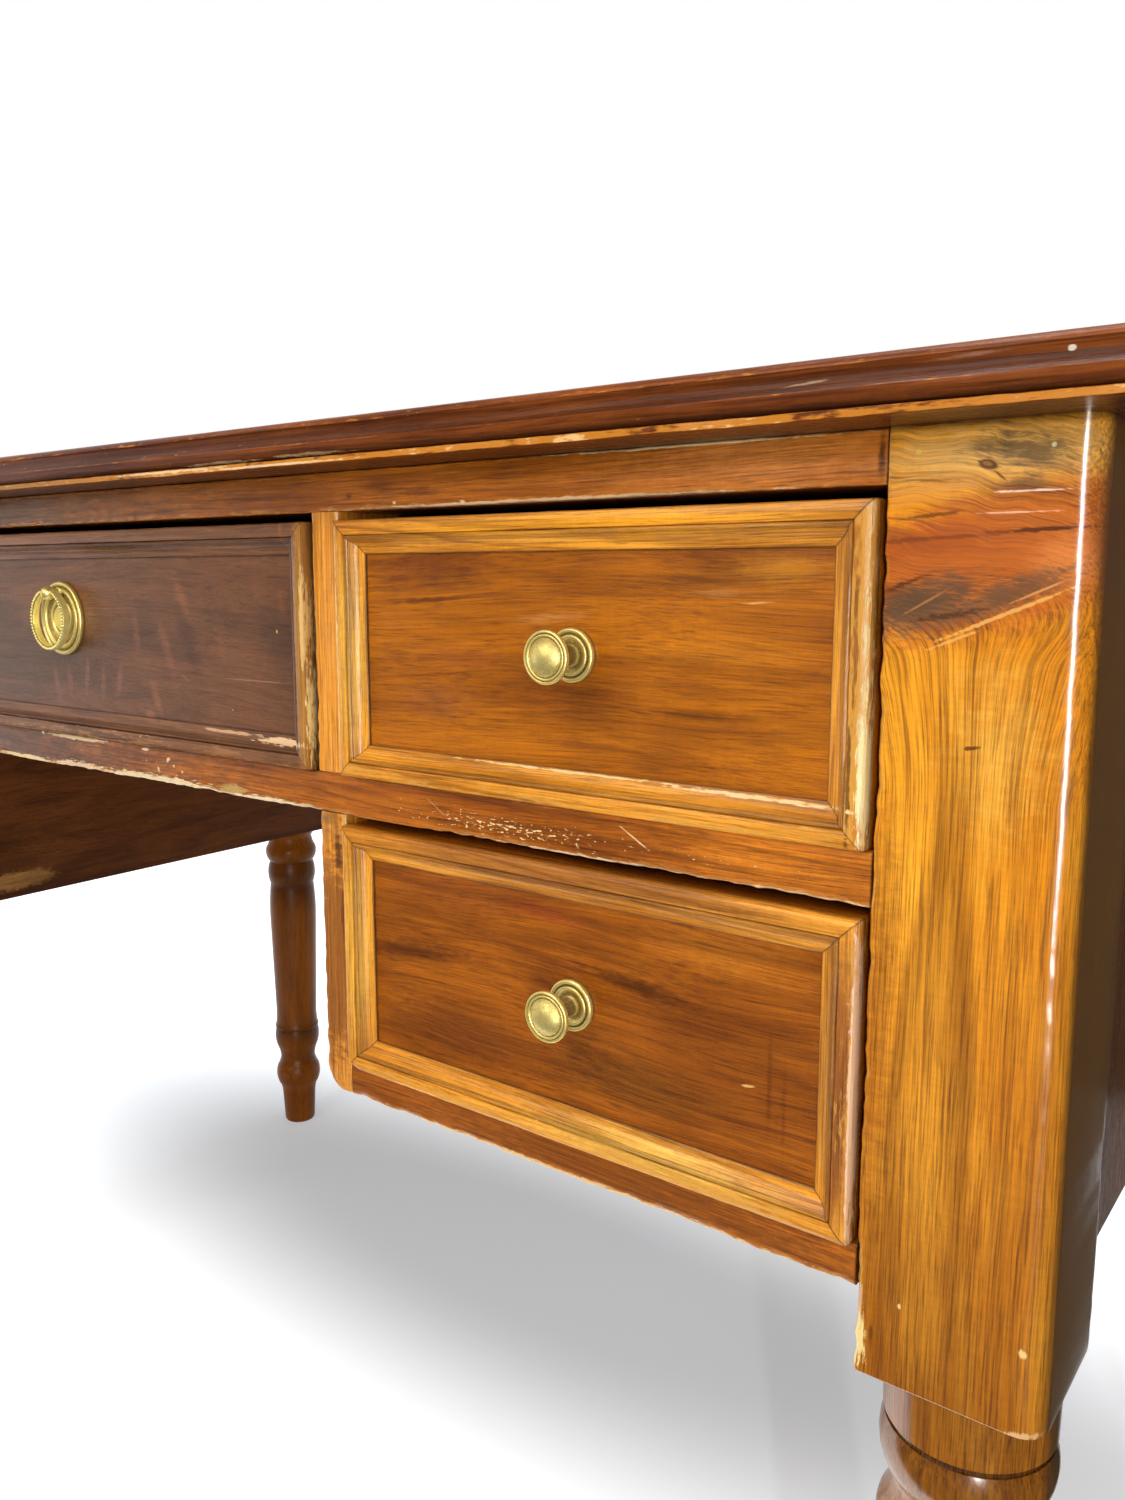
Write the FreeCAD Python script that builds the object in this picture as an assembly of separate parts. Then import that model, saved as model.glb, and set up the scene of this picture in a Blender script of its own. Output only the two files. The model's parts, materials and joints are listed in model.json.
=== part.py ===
import FreeCAD, Part
import math
import os

# Twin-pedestal writing desk in stained softwood, all sizes in millimetres.
# X runs along the front, Y runs from the front to the back, Z points up.
# The origin is on the floor under the middle of the desk.

V = FreeCAD.Vector

# Overall frame
width_over_legs = 1100.0
depth_over_legs = 618.0
underside_height = 748.0
top_thickness = 18.0
top_overhang = 30.0
top_edge_strip = 42.0
top_edge_relief = 4.0

# Legs: a square block beside the drawers, turned round below it
leg_size = 64.0
leg_block_height = 322.0
leg_corner_round = 9.0
leg_edge_round = 1.5
leg_neck_radius = 30.5

# Front frame, measured down from the underside of the top
top_rail_height = 17.5
upper_bay_height = 118.5
mid_rail_height = 19.0
lower_bay_height = 120.5
bottom_rail_height = 15.5
frame_depth = 40.0
frame_setback = 0.6
stile_width = 17.0
pedestal_bay_width = 254.0
pedestal_corner_round = 14.0
edge_round = 0.8

# Case panels and boards
side_panel_thickness = 18.0
side_panel_setback = 4.0
inner_panel_thickness = 14.0
inner_panel_setback = 3.0
inner_panel_raise = 9.0
back_board_thickness = 15.0
back_board_setback = 4.0
tenon_length = 18.0
tenon_shoulder = 4.0
panel_tenon_length = 12.0
panel_tenon_shoulder = 24.0

# Runners that carry the drawers
runner_height = 15.0
runner_bearing = 14.0
runner_guide_height = 12.0

# Drawers
drawer_side_gap = 2.0
drawer_floor_gap = 0.3
drawer_head_gap = 4.0
drawer_tail_gap = 2.0
front_thickness = 18.0
front_recess = 2.5
moulding_width = 14.8
moulding_thickness = 7.0
box_wall = 10.0
box_drop = 18.0
bottom_thickness = 6.0
bottom_rise = 8.0
groove_depth = 4.0
groove_fit = 0.1

# Turned brass knobs
knob_radius = 10.3
knob_length = 20.0
knob_shank_radius = 2.4
knob_shank_depth = 13.0
knob_plate_radius = 10.6
knob_plate_thickness = 2.8
knob_land_share = 0.36
upper_knob_rise = 2.5
knob_outward_shift = 2.8

# Brass ring pull of the middle drawer
pull_plate_radius = 20.7
pull_plate_thickness = 3.2
pull_rise = 9.0
ring_mean_radius = 15.4
ring_radial = 3.4
ring_depth = 5.0
ring_corner_round = 0.9
ring_drop = 0.5
ring_standoff = 9.0
post_ball_radius = 4.0
post_neck_radius = 2.6
post_depth = 13.0
pivot_pin_radius = 1.2
pivot_running_gap = 0.08
pivot_side_gap = 0.4
pivot_pin_inset = 0.8
cut_overrun = 5.0

# Places worked out from the sizes above
half_width = width_over_legs / 2
half_depth = depth_over_legs / 2
leg_inner_x = half_width - leg_size
stile_outer_x = leg_inner_x - pedestal_bay_width
stile_inner_x = stile_outer_x - stile_width
frame_front_y = frame_setback - half_depth
frame_back_y = frame_front_y + frame_depth
top_rail_z = underside_height - top_rail_height
mid_rail_top_z = top_rail_z - upper_bay_height
mid_rail_z = mid_rail_top_z - mid_rail_height
bottom_rail_top_z = mid_rail_z - lower_bay_height
pedestal_z = bottom_rail_top_z - bottom_rail_height
side_panel_outer_x = half_width - side_panel_setback
side_panel_inner_x = side_panel_outer_x - side_panel_thickness
inner_panel_knee_x = stile_inner_x + inner_panel_setback
inner_panel_bay_x = inner_panel_knee_x + inner_panel_thickness
leg_back_y = half_depth - leg_size
back_board_front_y = half_depth - back_board_setback - back_board_thickness
panel_face_y = front_recess - half_depth
box_front_y = panel_face_y + front_thickness
box_back_y = back_board_front_y - drawer_tail_gap

# Outlines. Each row is a point, an arc's middle and end, or the height of a dome that
# closes the outline on the axis, all as shares of two sizes.

# Turned part of a leg from the block to the floor: radius as a share of the neck's
# radius, height as a share of the turned length
leg_turning_shares = [
    (1.0, 1.0), (0.985, 0.948), (0.95, 0.948), (0.95, 0.944), (0.97, 0.944),
    (1.015, 0.922, 0.845, 0.889), (0.885, 0.872, 0.995, 0.855),
    (1.015, 0.836, 0.865, 0.813), (0.955, 0.782, 0.885, 0.749), (0.87, 0.746),
    (0.925, 0.70, 0.94, 0.655), (0.825, 0.352), (0.83, 0.33, 0.86, 0.308),
    (0.89, 0.303, 0.86, 0.296), (0.905, 0.270, 0.84, 0.242), (0.74, 0.222, 0.70, 0.204),
    (0.745, 0.190, 0.85, 0.174), (0.90, 0.150, 0.735, 0.113), (0.695, 0.100, 0.675, 0.088),
    (0.615, 0.006), (0.575, 0.0),
]

# Moulded edge of the top, from the soffit up: distance in from the outermost point as a
# share of the relief, height as a share of the thickness
top_edge_shares = [
    (0.30, 0.0), (0.12, 0.02), (0.12, 0.145), (0.60, 0.16),
    (0.14, 0.29, 0.02, 0.44), (0.0, 0.46), (0.06, 0.48), (0.34, 0.49),
    (0.66, 0.67, 0.46, 0.83), (0.34, 0.85), (0.52, 0.95, 1.0, 1.0),
]

# Applied drawer moulding from its outer edge to the field: distance in as a share of
# the width, height as a share of the thickness
drawer_moulding_shares = [
    (0.0, 0.0), (0.0, 0.80), (0.18, 1.0, 0.43, 0.94), (0.455, 0.76),
    (0.52, 0.92, 0.585, 0.76), (0.61, 0.70), (0.75, 0.33, 0.955, 0.22),
    (1.0, 0.16), (1.0, 0.0),
]

# Knob from its collar to the middle of its dome: radius and length
knob_head_shares = [
    (0.0, 0.0), (0.43, 0.0), (0.44, 0.05), (0.41, 0.09), (0.34, 0.13),
    (0.31, 0.45), (0.42, 0.63, 0.88, 0.72), (0.98, 0.76, 1.0, 0.81), (0.97, 0.86, 0.89, 0.86),
    (0.85, 0.815), (0.80, 0.815), (0.76, 0.87, 0.70, 0.86), (0.66, 0.83), (1.0,),
]

# Knob's backplate, rim to middle, and the land its collar stands on: radius and thickness
knob_plate_shares = [
    (0.0, 0.0), (1.0, 0.0), (1.0, 0.45), (0.97, 0.84, 0.87, 0.88), (0.82, 0.62), (0.76, 0.62),
    (0.71, 1.0, 0.64, 0.92), (0.58, 0.60), (0.48, knob_land_share), (0.0, knob_land_share),
]

# Ring pull's backplate: radius and thickness, from the rim to the middle
pull_plate_shares = [
    (0.0, 0.0), (1.0, 0.0), (1.0, 0.45), (0.98, 0.80, 0.92, 0.82), (0.88, 0.58), (0.83, 0.58),
    (0.79, 1.0, 0.73, 0.86), (0.70, 0.58), (0.54, 0.38), (0.50, 0.66, 0.44, 0.62),
    (0.41, 0.42), (0.37, 0.42), (0.34, 0.72, 0.28, 0.76), (0.0, 0.80),
]


def dome_points(foot_radius, foot_height, top_height):
    """Middle and top of the arc of a ball, centred on the axis, that rises from a foot circle."""
    rise = top_height - foot_height
    ball = (foot_radius ** 2 + rise ** 2) / (2 * rise)
    half_angle = math.asin(foot_radius / ball) / 2
    middle = (ball * math.sin(half_angle), top_height - ball * (1 - math.cos(half_angle)))
    return middle, (0, top_height)


def outline_edges(shares, u_size, v_size, place, closing):
    """Edges of a closed outline whose shares are scaled to two sizes and placed in space."""
    current = place(shares[0][0] * u_size, shares[0][1] * v_size)
    start = current
    edges = []
    last_row = shares[0]
    for row in shares[1:]:
        if len(row) == 1:
            middle, target = dome_points(last_row[-2] * u_size, last_row[-1] * v_size, row[0] * v_size)
            target = place(*target)
            edges.append(Part.Arc(current, place(*middle), target).toShape())
        elif len(row) == 4:
            target = place(row[2] * u_size, row[3] * v_size)
            middle = place(row[0] * u_size, row[1] * v_size)
            edges.append(Part.Arc(current, middle, target).toShape())
        else:
            target = place(row[0] * u_size, row[1] * v_size)
            edges.append(Part.LineSegment(current, target).toShape())
        current = target
        last_row = row
    for u, v in closing:
        target = place(u, v)
        edges.append(Part.LineSegment(current, target).toShape())
        current = target
    edges.append(Part.LineSegment(current, start).toShape())
    return edges


def outline_face(shares, u_size, v_size, place, closing=()):
    """Face bounded by a closed outline."""
    return Part.Face(Part.Wire(outline_edges(shares, u_size, v_size, place, closing)))


def block(x_range, y_range, z_range):
    """Box between two X, two Y and two Z places."""
    size = [max(pair) - min(pair) for pair in (x_range, y_range, z_range)]
    corner = V(min(x_range), min(y_range), min(z_range))
    return Part.makeBox(size[0], size[1], size[2], corner)


def softened(shape, radius):
    """Shape with every edge rounded over."""
    return shape.makeFillet(radius, shape.Edges)


def mirrored(shape):
    """Copy on the other side of the desk's middle plane."""
    return shape.mirror(V(0, 0, 0), V(1, 0, 0))


def save(name, *shapes):
    """Write one node, as a single solid or a group of separate solids."""
    result = shapes[0] if len(shapes) == 1 else Part.makeCompound(list(shapes))
    result.exportStep(os.path.join("parts", name + ".step"))


def mitred_frame(length, width, strip, thickness, profile):
    """Four strips of one profile around a rectangle in the XY plane, mitred at 45 degrees.

    The order is front, right, back, left. The profile face lies in the YZ plane with its
    outermost point at Y = 0, and grows towards +Y and +Z.
    """
    strips = []
    for turn in (0, 90, 180, 270):
        run, reach = (length, width) if turn % 180 == 0 else (width, length)
        outer = run / 2
        inner = outer - strip
        bar = profile.extrude(V(run, 0, 0))
        bar.translate(V(-outer, -reach / 2, 0))
        corners = [V(-outer, -reach / 2, 0), V(outer, -reach / 2, 0)]
        corners += [V(inner, strip - reach / 2, 0), V(-inner, strip - reach / 2, 0)]
        wedge = Part.Face(Part.makePolygon(corners + corners[:1])).extrude(V(0, 0, thickness))
        piece = bar.common(wedge).Solids[0]
        piece.rotate(V(0, 0, 0), V(0, 0, 1), turn)
        strips.append(piece)
    return strips


def end_tenon(x_range, y_range, z_range, shoulder_z):
    """Tenon with a shoulder on all sides; the range that runs into the leg keeps its length."""
    inner_y = (min(y_range) + tenon_shoulder, max(y_range) - tenon_shoulder)
    inner_z = (min(z_range) + shoulder_z, max(z_range) - shoulder_z)
    return block(x_range, inner_y, inner_z)


def build_top():
    """Glued-up top board with four mitred edge mouldings around it."""
    length = width_over_legs + 2 * top_overhang
    width = depth_over_legs + 2 * top_overhang
    field_x = length / 2 - top_edge_strip
    field_y = width / 2 - top_edge_strip
    top_z = underside_height + top_thickness
    save("top_board", block((-field_x, field_x), (-field_y, field_y), (underside_height, top_z)))
    closing = [(top_edge_strip, top_thickness), (top_edge_strip, 0)]
    profile = outline_face(top_edge_shares, top_edge_relief, top_thickness,
                           lambda u, v: V(0, u, v), closing)
    strips = mitred_frame(length, width, top_edge_strip, top_thickness, profile)
    for side, strip in zip(("front", "right", "back", "left"), strips):
        strip.translate(V(0, 0, underside_height))
        save("top_edge_" + side, strip)


def rail(x_range, z_range, tenon_ends):
    """Front rail with stub tenons into the legs, and the tenons for their mortises."""
    y_range = (frame_front_y, frame_back_y)
    body = softened(block(x_range, y_range, z_range), edge_round)
    tenons = []
    for end in tenon_ends:
        inside = end - math.copysign(edge_round, end)
        tip = end + math.copysign(tenon_length, end)
        tenons.append(end_tenon((inside, tip), y_range, z_range, tenon_shoulder))
    for tenon in tenons:
        body = body.fuse(tenon)
    return body.removeSplitter(), tenons


def build_front_frame():
    """Rails and stiles that divide the front into five drawer bays."""
    mortises = []
    across = (-leg_inner_x, leg_inner_x)
    levels = (("front_top_rail", top_rail_z, underside_height),
              ("front_mid_rail", mid_rail_z, mid_rail_top_z))
    for name, low, high in levels:
        body, tenons = rail(across, (low, high), across)
        mortises += tenons
        save(name, body)
    y_range = (frame_front_y, frame_back_y)
    body, tenons = rail((stile_outer_x, leg_inner_x), (pedestal_z, bottom_rail_top_z), (leg_inner_x,))
    mortises += tenons + [mirrored(tenon) for tenon in tenons]
    save("bottom_rail_right", body)
    save("bottom_rail_left", mirrored(body))
    x_range = (stile_inner_x, stile_outer_x)
    upper = softened(block(x_range, y_range, (mid_rail_top_z, top_rail_z)), edge_round)
    save("upper_stile_right", upper)
    save("upper_stile_left", mirrored(upper))
    lower = block(x_range, y_range, (pedestal_z, mid_rail_z))
    foot_corner = [edge for edge in lower.Edges
                   if edge.BoundBox.XMax < stile_inner_x + edge_round
                   and edge.BoundBox.ZMax < pedestal_z + edge_round]
    lower = lower.makeFillet(pedestal_corner_round, foot_corner)
    save("lower_stile_right", lower)
    save("lower_stile_left", mirrored(lower))
    return mortises


def build_case_panels():
    """Side panels, inner panels and back boards, with the tenons that enter the legs."""
    z_range = (pedestal_z, underside_height)
    x_range = (side_panel_inner_x, side_panel_outer_x)
    side = softened(block(x_range, (-leg_back_y, leg_back_y), z_range), edge_round)
    tenon_x = (side_panel_inner_x + tenon_shoulder, side_panel_outer_x - tenon_shoulder)
    tenon_z = (pedestal_z + panel_tenon_shoulder, underside_height - panel_tenon_shoulder)
    reach = leg_back_y + panel_tenon_length
    tongue = block(tenon_x, (-reach, reach), tenon_z)
    side = side.fuse(tongue).removeSplitter()
    save("side_panel_right", side)
    save("side_panel_left", mirrored(side))
    mortises = [tongue, mirrored(tongue)]
    inner = block((inner_panel_knee_x, inner_panel_bay_x), (frame_back_y, back_board_front_y),
                  (pedestal_z + inner_panel_raise, underside_height))
    save("inner_panel_right", inner)
    save("inner_panel_left", mirrored(inner))
    y_range = (back_board_front_y, back_board_front_y + back_board_thickness)
    long_board = block((-leg_inner_x, leg_inner_x), y_range, (mid_rail_z, underside_height))
    reach = leg_inner_x + tenon_length
    tongue = end_tenon((-reach, reach), y_range, (mid_rail_z, underside_height), panel_tenon_shoulder)
    mortises.append(tongue)
    long_board = long_board.fuse(tongue).removeSplitter()
    short_board = block((inner_panel_knee_x, leg_inner_x), y_range, (pedestal_z, mid_rail_z))
    save("back_boards", long_board, short_board, mirrored(short_board))
    return mortises


def build_legs(mortises):
    """Four legs: rounded square blocks with turned lower parts, mortised for the frame."""
    turned_length = underside_height - leg_block_height
    turning = outline_face(leg_turning_shares, leg_neck_radius, turned_length,
                           lambda u, v: V(u, 0, v), [(0, 0), (0, turned_length)])
    turned = turning.revolve(V(0, 0, 0), V(0, 0, 1), 360)
    half = leg_size / 2
    square = block((-half, half), (-half, half), (turned_length, underside_height))
    uprights = [edge for edge in square.Edges if edge.BoundBox.ZLength > half]
    inner_corners = [edge for edge in uprights if edge.BoundBox.XMax < 0 or edge.BoundBox.YMin > 0]
    square = square.makeFillet(leg_edge_round, inner_corners)
    outer_corner = [edge for edge in square.Edges
                    if edge.BoundBox.ZLength > half and edge.BoundBox.XMin > 0 and edge.BoundBox.YMax < 0
                    and edge.BoundBox.XLength + edge.BoundBox.YLength < leg_edge_round
                    and edge.BoundBox.XMin > half - leg_edge_round / 2
                    and edge.BoundBox.YMax < leg_edge_round / 2 - half]
    square = square.makeFillet(leg_corner_round, outer_corner)
    front_right = square.fuse(turned).removeSplitter()
    front_right.translate(V(half_width - half, half - half_depth, 0))
    back_right = front_right.mirror(V(0, 0, 0), V(0, 1, 0))
    pocket = Part.makeCompound(mortises)
    save("leg_front_right", front_right.cut(pocket))
    save("leg_front_left", mirrored(front_right).cut(pocket))
    save("leg_back_right", back_right.cut(pocket))
    save("leg_back_left", mirrored(back_right).cut(pocket))


def build_runners():
    """Runners under the drawers: slim ones on the inner panels, guided ones on the side panels."""
    y_range = (frame_back_y, back_board_front_y)
    slim = []
    guided = []
    knee_x = (inner_panel_knee_x - runner_bearing, inner_panel_knee_x)
    knee = block(knee_x, y_range, (mid_rail_top_z - runner_height, mid_rail_top_z))
    slim += [knee, mirrored(knee)]
    bay_x = (inner_panel_bay_x, inner_panel_bay_x + runner_bearing)
    outer_x = (leg_inner_x - runner_bearing, side_panel_inner_x)
    guide_x = (leg_inner_x, side_panel_inner_x)
    for level in (mid_rail_top_z, bottom_rail_top_z):
        inner = block(bay_x, y_range, (level - runner_height, level))
        slim += [inner, mirrored(inner)]
        shelf_y = (leg_size - half_depth, leg_back_y)
        shelf = block(outer_x, shelf_y, (level - runner_height, level))
        guide = block(guide_x, shelf_y, (level, level + runner_guide_height))
        guided += [shelf, mirrored(shelf), guide, mirrored(guide)]
    save("slim_runners", *slim)
    save("guided_runners", *guided)


def build_drawer(name, x_middle, width, low_z, front_height, bore):
    """One drawer: bored front, mitred moulding, two grooved sides, back and bottom."""
    half = width / 2
    face_z = (low_z, low_z + front_height)
    side_top_z = low_z + front_height - box_drop
    floor_z = low_z + bottom_rise
    x_range = (x_middle - half, x_middle + half)
    front = softened(block(x_range, (panel_face_y, box_front_y), face_z), edge_round)
    panel_half = half - box_wall + groove_depth
    panel_x = (x_middle - panel_half, x_middle + panel_half)
    panel_y = (box_front_y - groove_depth, box_back_y)
    slot_x = (panel_x[0] - groove_fit, panel_x[1] + groove_fit)
    slot_y = (panel_y[0] - groove_fit, panel_y[1] + cut_overrun)
    slot = block(slot_x, slot_y, (floor_z, floor_z + bottom_thickness))
    save(name + "_front", front.cut(slot).cut(bore))

    profile = outline_face(drawer_moulding_shares, moulding_width, moulding_thickness,
                           lambda u, v: V(0, u, v))
    strips = mitred_frame(width, front_height, moulding_width, moulding_thickness, profile)
    for strip in strips:
        strip.rotate(V(0, 0, 0), V(1, 0, 0), 90)
        strip.translate(V(x_middle, panel_face_y, low_z + front_height / 2))
    save(name + "_moulding", *strips)

    sides = []
    for edge_x, inner_x in ((x_range[0], x_range[0] + box_wall), (x_range[1], x_range[1] - box_wall)):
        side = block((edge_x, inner_x), (box_front_y, box_back_y), (low_z, side_top_z))
        sides.append(side.cut(slot))
    save(name + "_sides", *sides)
    inner_x = (x_range[0] + box_wall, x_range[1] - box_wall)
    save(name + "_back", block(inner_x, (box_back_y - box_wall, box_back_y),
                               (floor_z + bottom_thickness, side_top_z)))
    save(name + "_bottom", block(panel_x, panel_y, (floor_z, floor_z + bottom_thickness)))


def facing_front(x, z):
    """Place for a turned fitting: radius along X, projection out of the drawer's field."""
    return lambda u, v: V(x + u, panel_face_y - v, z)


def turned_fitting(face, x, z):
    """Solid of revolution about the line through X, Z that runs from front to back."""
    return face.revolve(V(x, panel_face_y, z), V(0, 1, 0), 360)


def build_knob(name, x, z):
    """Turned brass knob on a stepped backplate; returns the shank that enters the drawer front."""
    place = facing_front(x, z)
    land_height = knob_land_share * knob_plate_thickness
    face = outline_face(knob_head_shares, knob_radius, knob_length, place)
    head = turned_fitting(face, x, z)
    head.translate(V(0, -land_height, 0))
    shank_length = knob_shank_depth + land_height
    shank_start = V(x, panel_face_y - land_height, z)
    shank = Part.makeCylinder(knob_shank_radius, shank_length, shank_start, V(0, 1, 0))
    save("knob_" + name, head.fuse(shank).removeSplitter())
    plate_face = outline_face(knob_plate_shares, knob_plate_radius, knob_plate_thickness, place)
    save("knob_plate_" + name, turned_fitting(plate_face, x, z).cut(shank))
    return shank


def build_ring_pull(x, z):
    """Plate, post with a ball knuckle, and flat ring on two pins; returns the post's neck."""
    ring_z = z - ring_drop
    side_reach = post_ball_radius + pivot_side_gap
    post_z = ring_z + math.sqrt(ring_mean_radius ** 2 - side_reach ** 2)
    pivot_y = panel_face_y - ring_standoff
    place = facing_front(x, z)
    plate_face = outline_face(pull_plate_shares, pull_plate_radius, pull_plate_thickness, place)
    neck_length = ring_standoff + post_depth
    neck = Part.makeCylinder(post_neck_radius, neck_length, V(x, pivot_y, post_z), V(0, 1, 0))
    save("ring_pull_plate", turned_fitting(plate_face, x, z).cut(neck))
    ball = Part.makeSphere(post_ball_radius, V(x, pivot_y, post_z))
    hole_radius = pivot_pin_radius + pivot_running_gap
    hole = Part.makeCylinder(hole_radius, 2 * side_reach, V(x - side_reach, pivot_y, post_z), V(1, 0, 0))
    save("ring_pull_post", neck.fuse(ball).removeSplitter().cut(hole))

    inner = ring_mean_radius - ring_radial / 2
    front = V(x, pivot_y - ring_depth / 2, ring_z)
    band = Part.makeCylinder(inner + ring_radial, ring_depth, front, V(0, 1, 0))
    band = band.cut(Part.makeCylinder(inner, ring_depth, front, V(0, 1, 0)))
    rims = [edge for edge in band.Edges if edge.Closed and isinstance(edge.Curve, Part.Circle)]
    band = band.makeFillet(ring_corner_round, rims)
    gap_y = (pivot_y - ring_depth, pivot_y + ring_depth)
    gap_z = (ring_z, ring_z + ring_mean_radius + ring_radial)
    band = band.cut(block((x - side_reach, x + side_reach), gap_y, gap_z))
    pin_length = side_reach - pivot_pin_inset + ring_radial / 2
    for sign in (-1, 1):
        pin = Part.makeCylinder(pivot_pin_radius, pin_length,
                                V(x + sign * pivot_pin_inset, pivot_y, post_z), V(sign, 0, 0))
        band = band.fuse(pin)
    save("ring_pull_ring", band.removeSplitter())
    return neck


os.makedirs("parts", exist_ok=True)

build_top()
frame_mortises = build_front_frame()
panel_mortises = build_case_panels()
build_legs(frame_mortises + panel_mortises)
build_runners()

upper_low_z = mid_rail_top_z + drawer_floor_gap
lower_low_z = bottom_rail_top_z + drawer_floor_gap
upper_front_height = upper_bay_height - drawer_floor_gap - drawer_head_gap
lower_front_height = lower_bay_height - drawer_floor_gap - drawer_head_gap
bay_middle_x = stile_outer_x + pedestal_bay_width / 2
side_drawer_width = pedestal_bay_width - 2 * drawer_side_gap
middle_drawer_width = 2 * (stile_inner_x - drawer_side_gap)

pull_neck = build_ring_pull(0, upper_low_z + upper_front_height / 2 + pull_rise)
build_drawer("drawer_middle", 0, middle_drawer_width, upper_low_z, upper_front_height, pull_neck)

rows = (("upper", upper_low_z, upper_front_height, upper_knob_rise),
        ("lower", lower_low_z, lower_front_height, 0))
for level, low_z, front_height, knob_rise in rows:
    for side, x in (("left", -bay_middle_x), ("right", bay_middle_x)):
        place_name = level + "_" + side
        knob_x = x + math.copysign(knob_outward_shift, x)
        knob_shank = build_knob(place_name, knob_x, low_z + front_height / 2 + knob_rise)
        build_drawer("drawer_" + place_name, x, side_drawer_width, low_z, front_height, knob_shank)
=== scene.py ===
import json
import math
from functools import partial

import bmesh
import bpy
from mathutils import Matrix, Vector, noise


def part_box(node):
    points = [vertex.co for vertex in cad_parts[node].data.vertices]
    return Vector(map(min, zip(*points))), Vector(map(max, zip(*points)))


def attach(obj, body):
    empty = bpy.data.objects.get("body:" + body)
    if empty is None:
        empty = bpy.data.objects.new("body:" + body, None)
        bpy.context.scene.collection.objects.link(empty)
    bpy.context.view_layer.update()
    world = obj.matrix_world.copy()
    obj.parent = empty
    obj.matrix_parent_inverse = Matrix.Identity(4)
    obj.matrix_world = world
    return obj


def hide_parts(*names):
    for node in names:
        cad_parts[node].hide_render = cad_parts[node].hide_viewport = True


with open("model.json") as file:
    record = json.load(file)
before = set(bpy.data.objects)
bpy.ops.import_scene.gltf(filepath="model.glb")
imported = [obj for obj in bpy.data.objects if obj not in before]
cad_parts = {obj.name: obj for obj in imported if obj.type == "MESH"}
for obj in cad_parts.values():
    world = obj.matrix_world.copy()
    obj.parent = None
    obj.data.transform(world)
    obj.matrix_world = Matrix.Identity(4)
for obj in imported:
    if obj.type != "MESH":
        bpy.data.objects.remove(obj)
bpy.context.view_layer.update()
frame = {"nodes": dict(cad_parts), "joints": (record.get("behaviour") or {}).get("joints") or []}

# ---------------------------------------------------------------- Legs
# Each leg is one length of softwood: a planed square block beside the drawers and a
# part turned on the lathe below it. Stained honey brown and varnished, with the stain
# darker round a knot at the top of the front right leg, and the arrises rubbed bare.

MM = 0.001


def paint(code):
    """Linear colour for an sRGB hex value."""
    channels = [int(code[i:i + 2], 16) / 255 for i in (1, 3, 5)]
    linear = [c / 12.92 if c <= 0.04045 else ((c + 0.055) / 1.055) ** 2.4 for c in channels]
    return (*linear, 1.0)


def join(tree, node, links):
    """Sets a node's sockets to values, or links them to other nodes' outputs."""
    for key, value in links.items():
        if isinstance(value, bpy.types.NodeSocket):
            tree.links.new(value, node.inputs[key])
        else:
            node.inputs[key].default_value = value


def add(tree, kind, links=None, steps=None, **settings):
    """Adds one node to a tree, with its settings, its links and a colour ramp's steps."""
    node = tree.nodes.new(("ShaderNode" if tree.type == "SHADER" else "") + kind)
    for name, value in settings.items():
        setattr(node, name, value)
    join(tree, node, links or {})
    if steps:
        ramp = node.color_ramp.elements
        while len(ramp) < len(steps):
            ramp.new(0.5)
        for element, (position, colour) in zip(ramp, steps):
            element.position = position
            element.color = colour
    return node


def blank(name):
    """New material, its surface shader, and the function that adds nodes to it."""
    material = bpy.data.materials.new(name)
    material.use_nodes = True
    tree = material.node_tree
    return material, tree.nodes["Principled BSDF"], partial(add, tree)


def blotch(node, colour, here, fray, marks):
    """Paints marks over a colour: ellipsoids with frayed edges. A mark gives its centre and half
    sizes in millimetres, its colour and strength, its tilt in degrees, how soft its edge is and,
    where that isn't 1.4, how much the edge frays."""
    for centre, radii, tone, strength, tilt, soft, *frayed in marks:
        amount = frayed[0] if frayed else 1.4
        spot = node("Mapping", {"Vector": here, "Location": centre,
                                "Rotation": (0, -math.radians(tilt), 0), "Scale": radii},
                    vector_type="TEXTURE").outputs[0]
        reach = node("VectorMath", {0: spot}, operation="LENGTH").outputs["Value"]
        reach = node("Math", {0: fray, 1: amount, 2: reach}, operation="MULTIPLY_ADD").outputs[0]
        limit = 1 + amount / 2
        inside = node("MapRange", {"Value": reach, 1: limit, 2: limit - soft, 3: 0.0, 4: strength},
                     interpolation_type="SMOOTHSTEP").outputs[0]
        colour = node("Mix", {0: inside, 6: colour, 7: paint(tone)}, data_type="RGBA").outputs[2]
    return colour


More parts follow.
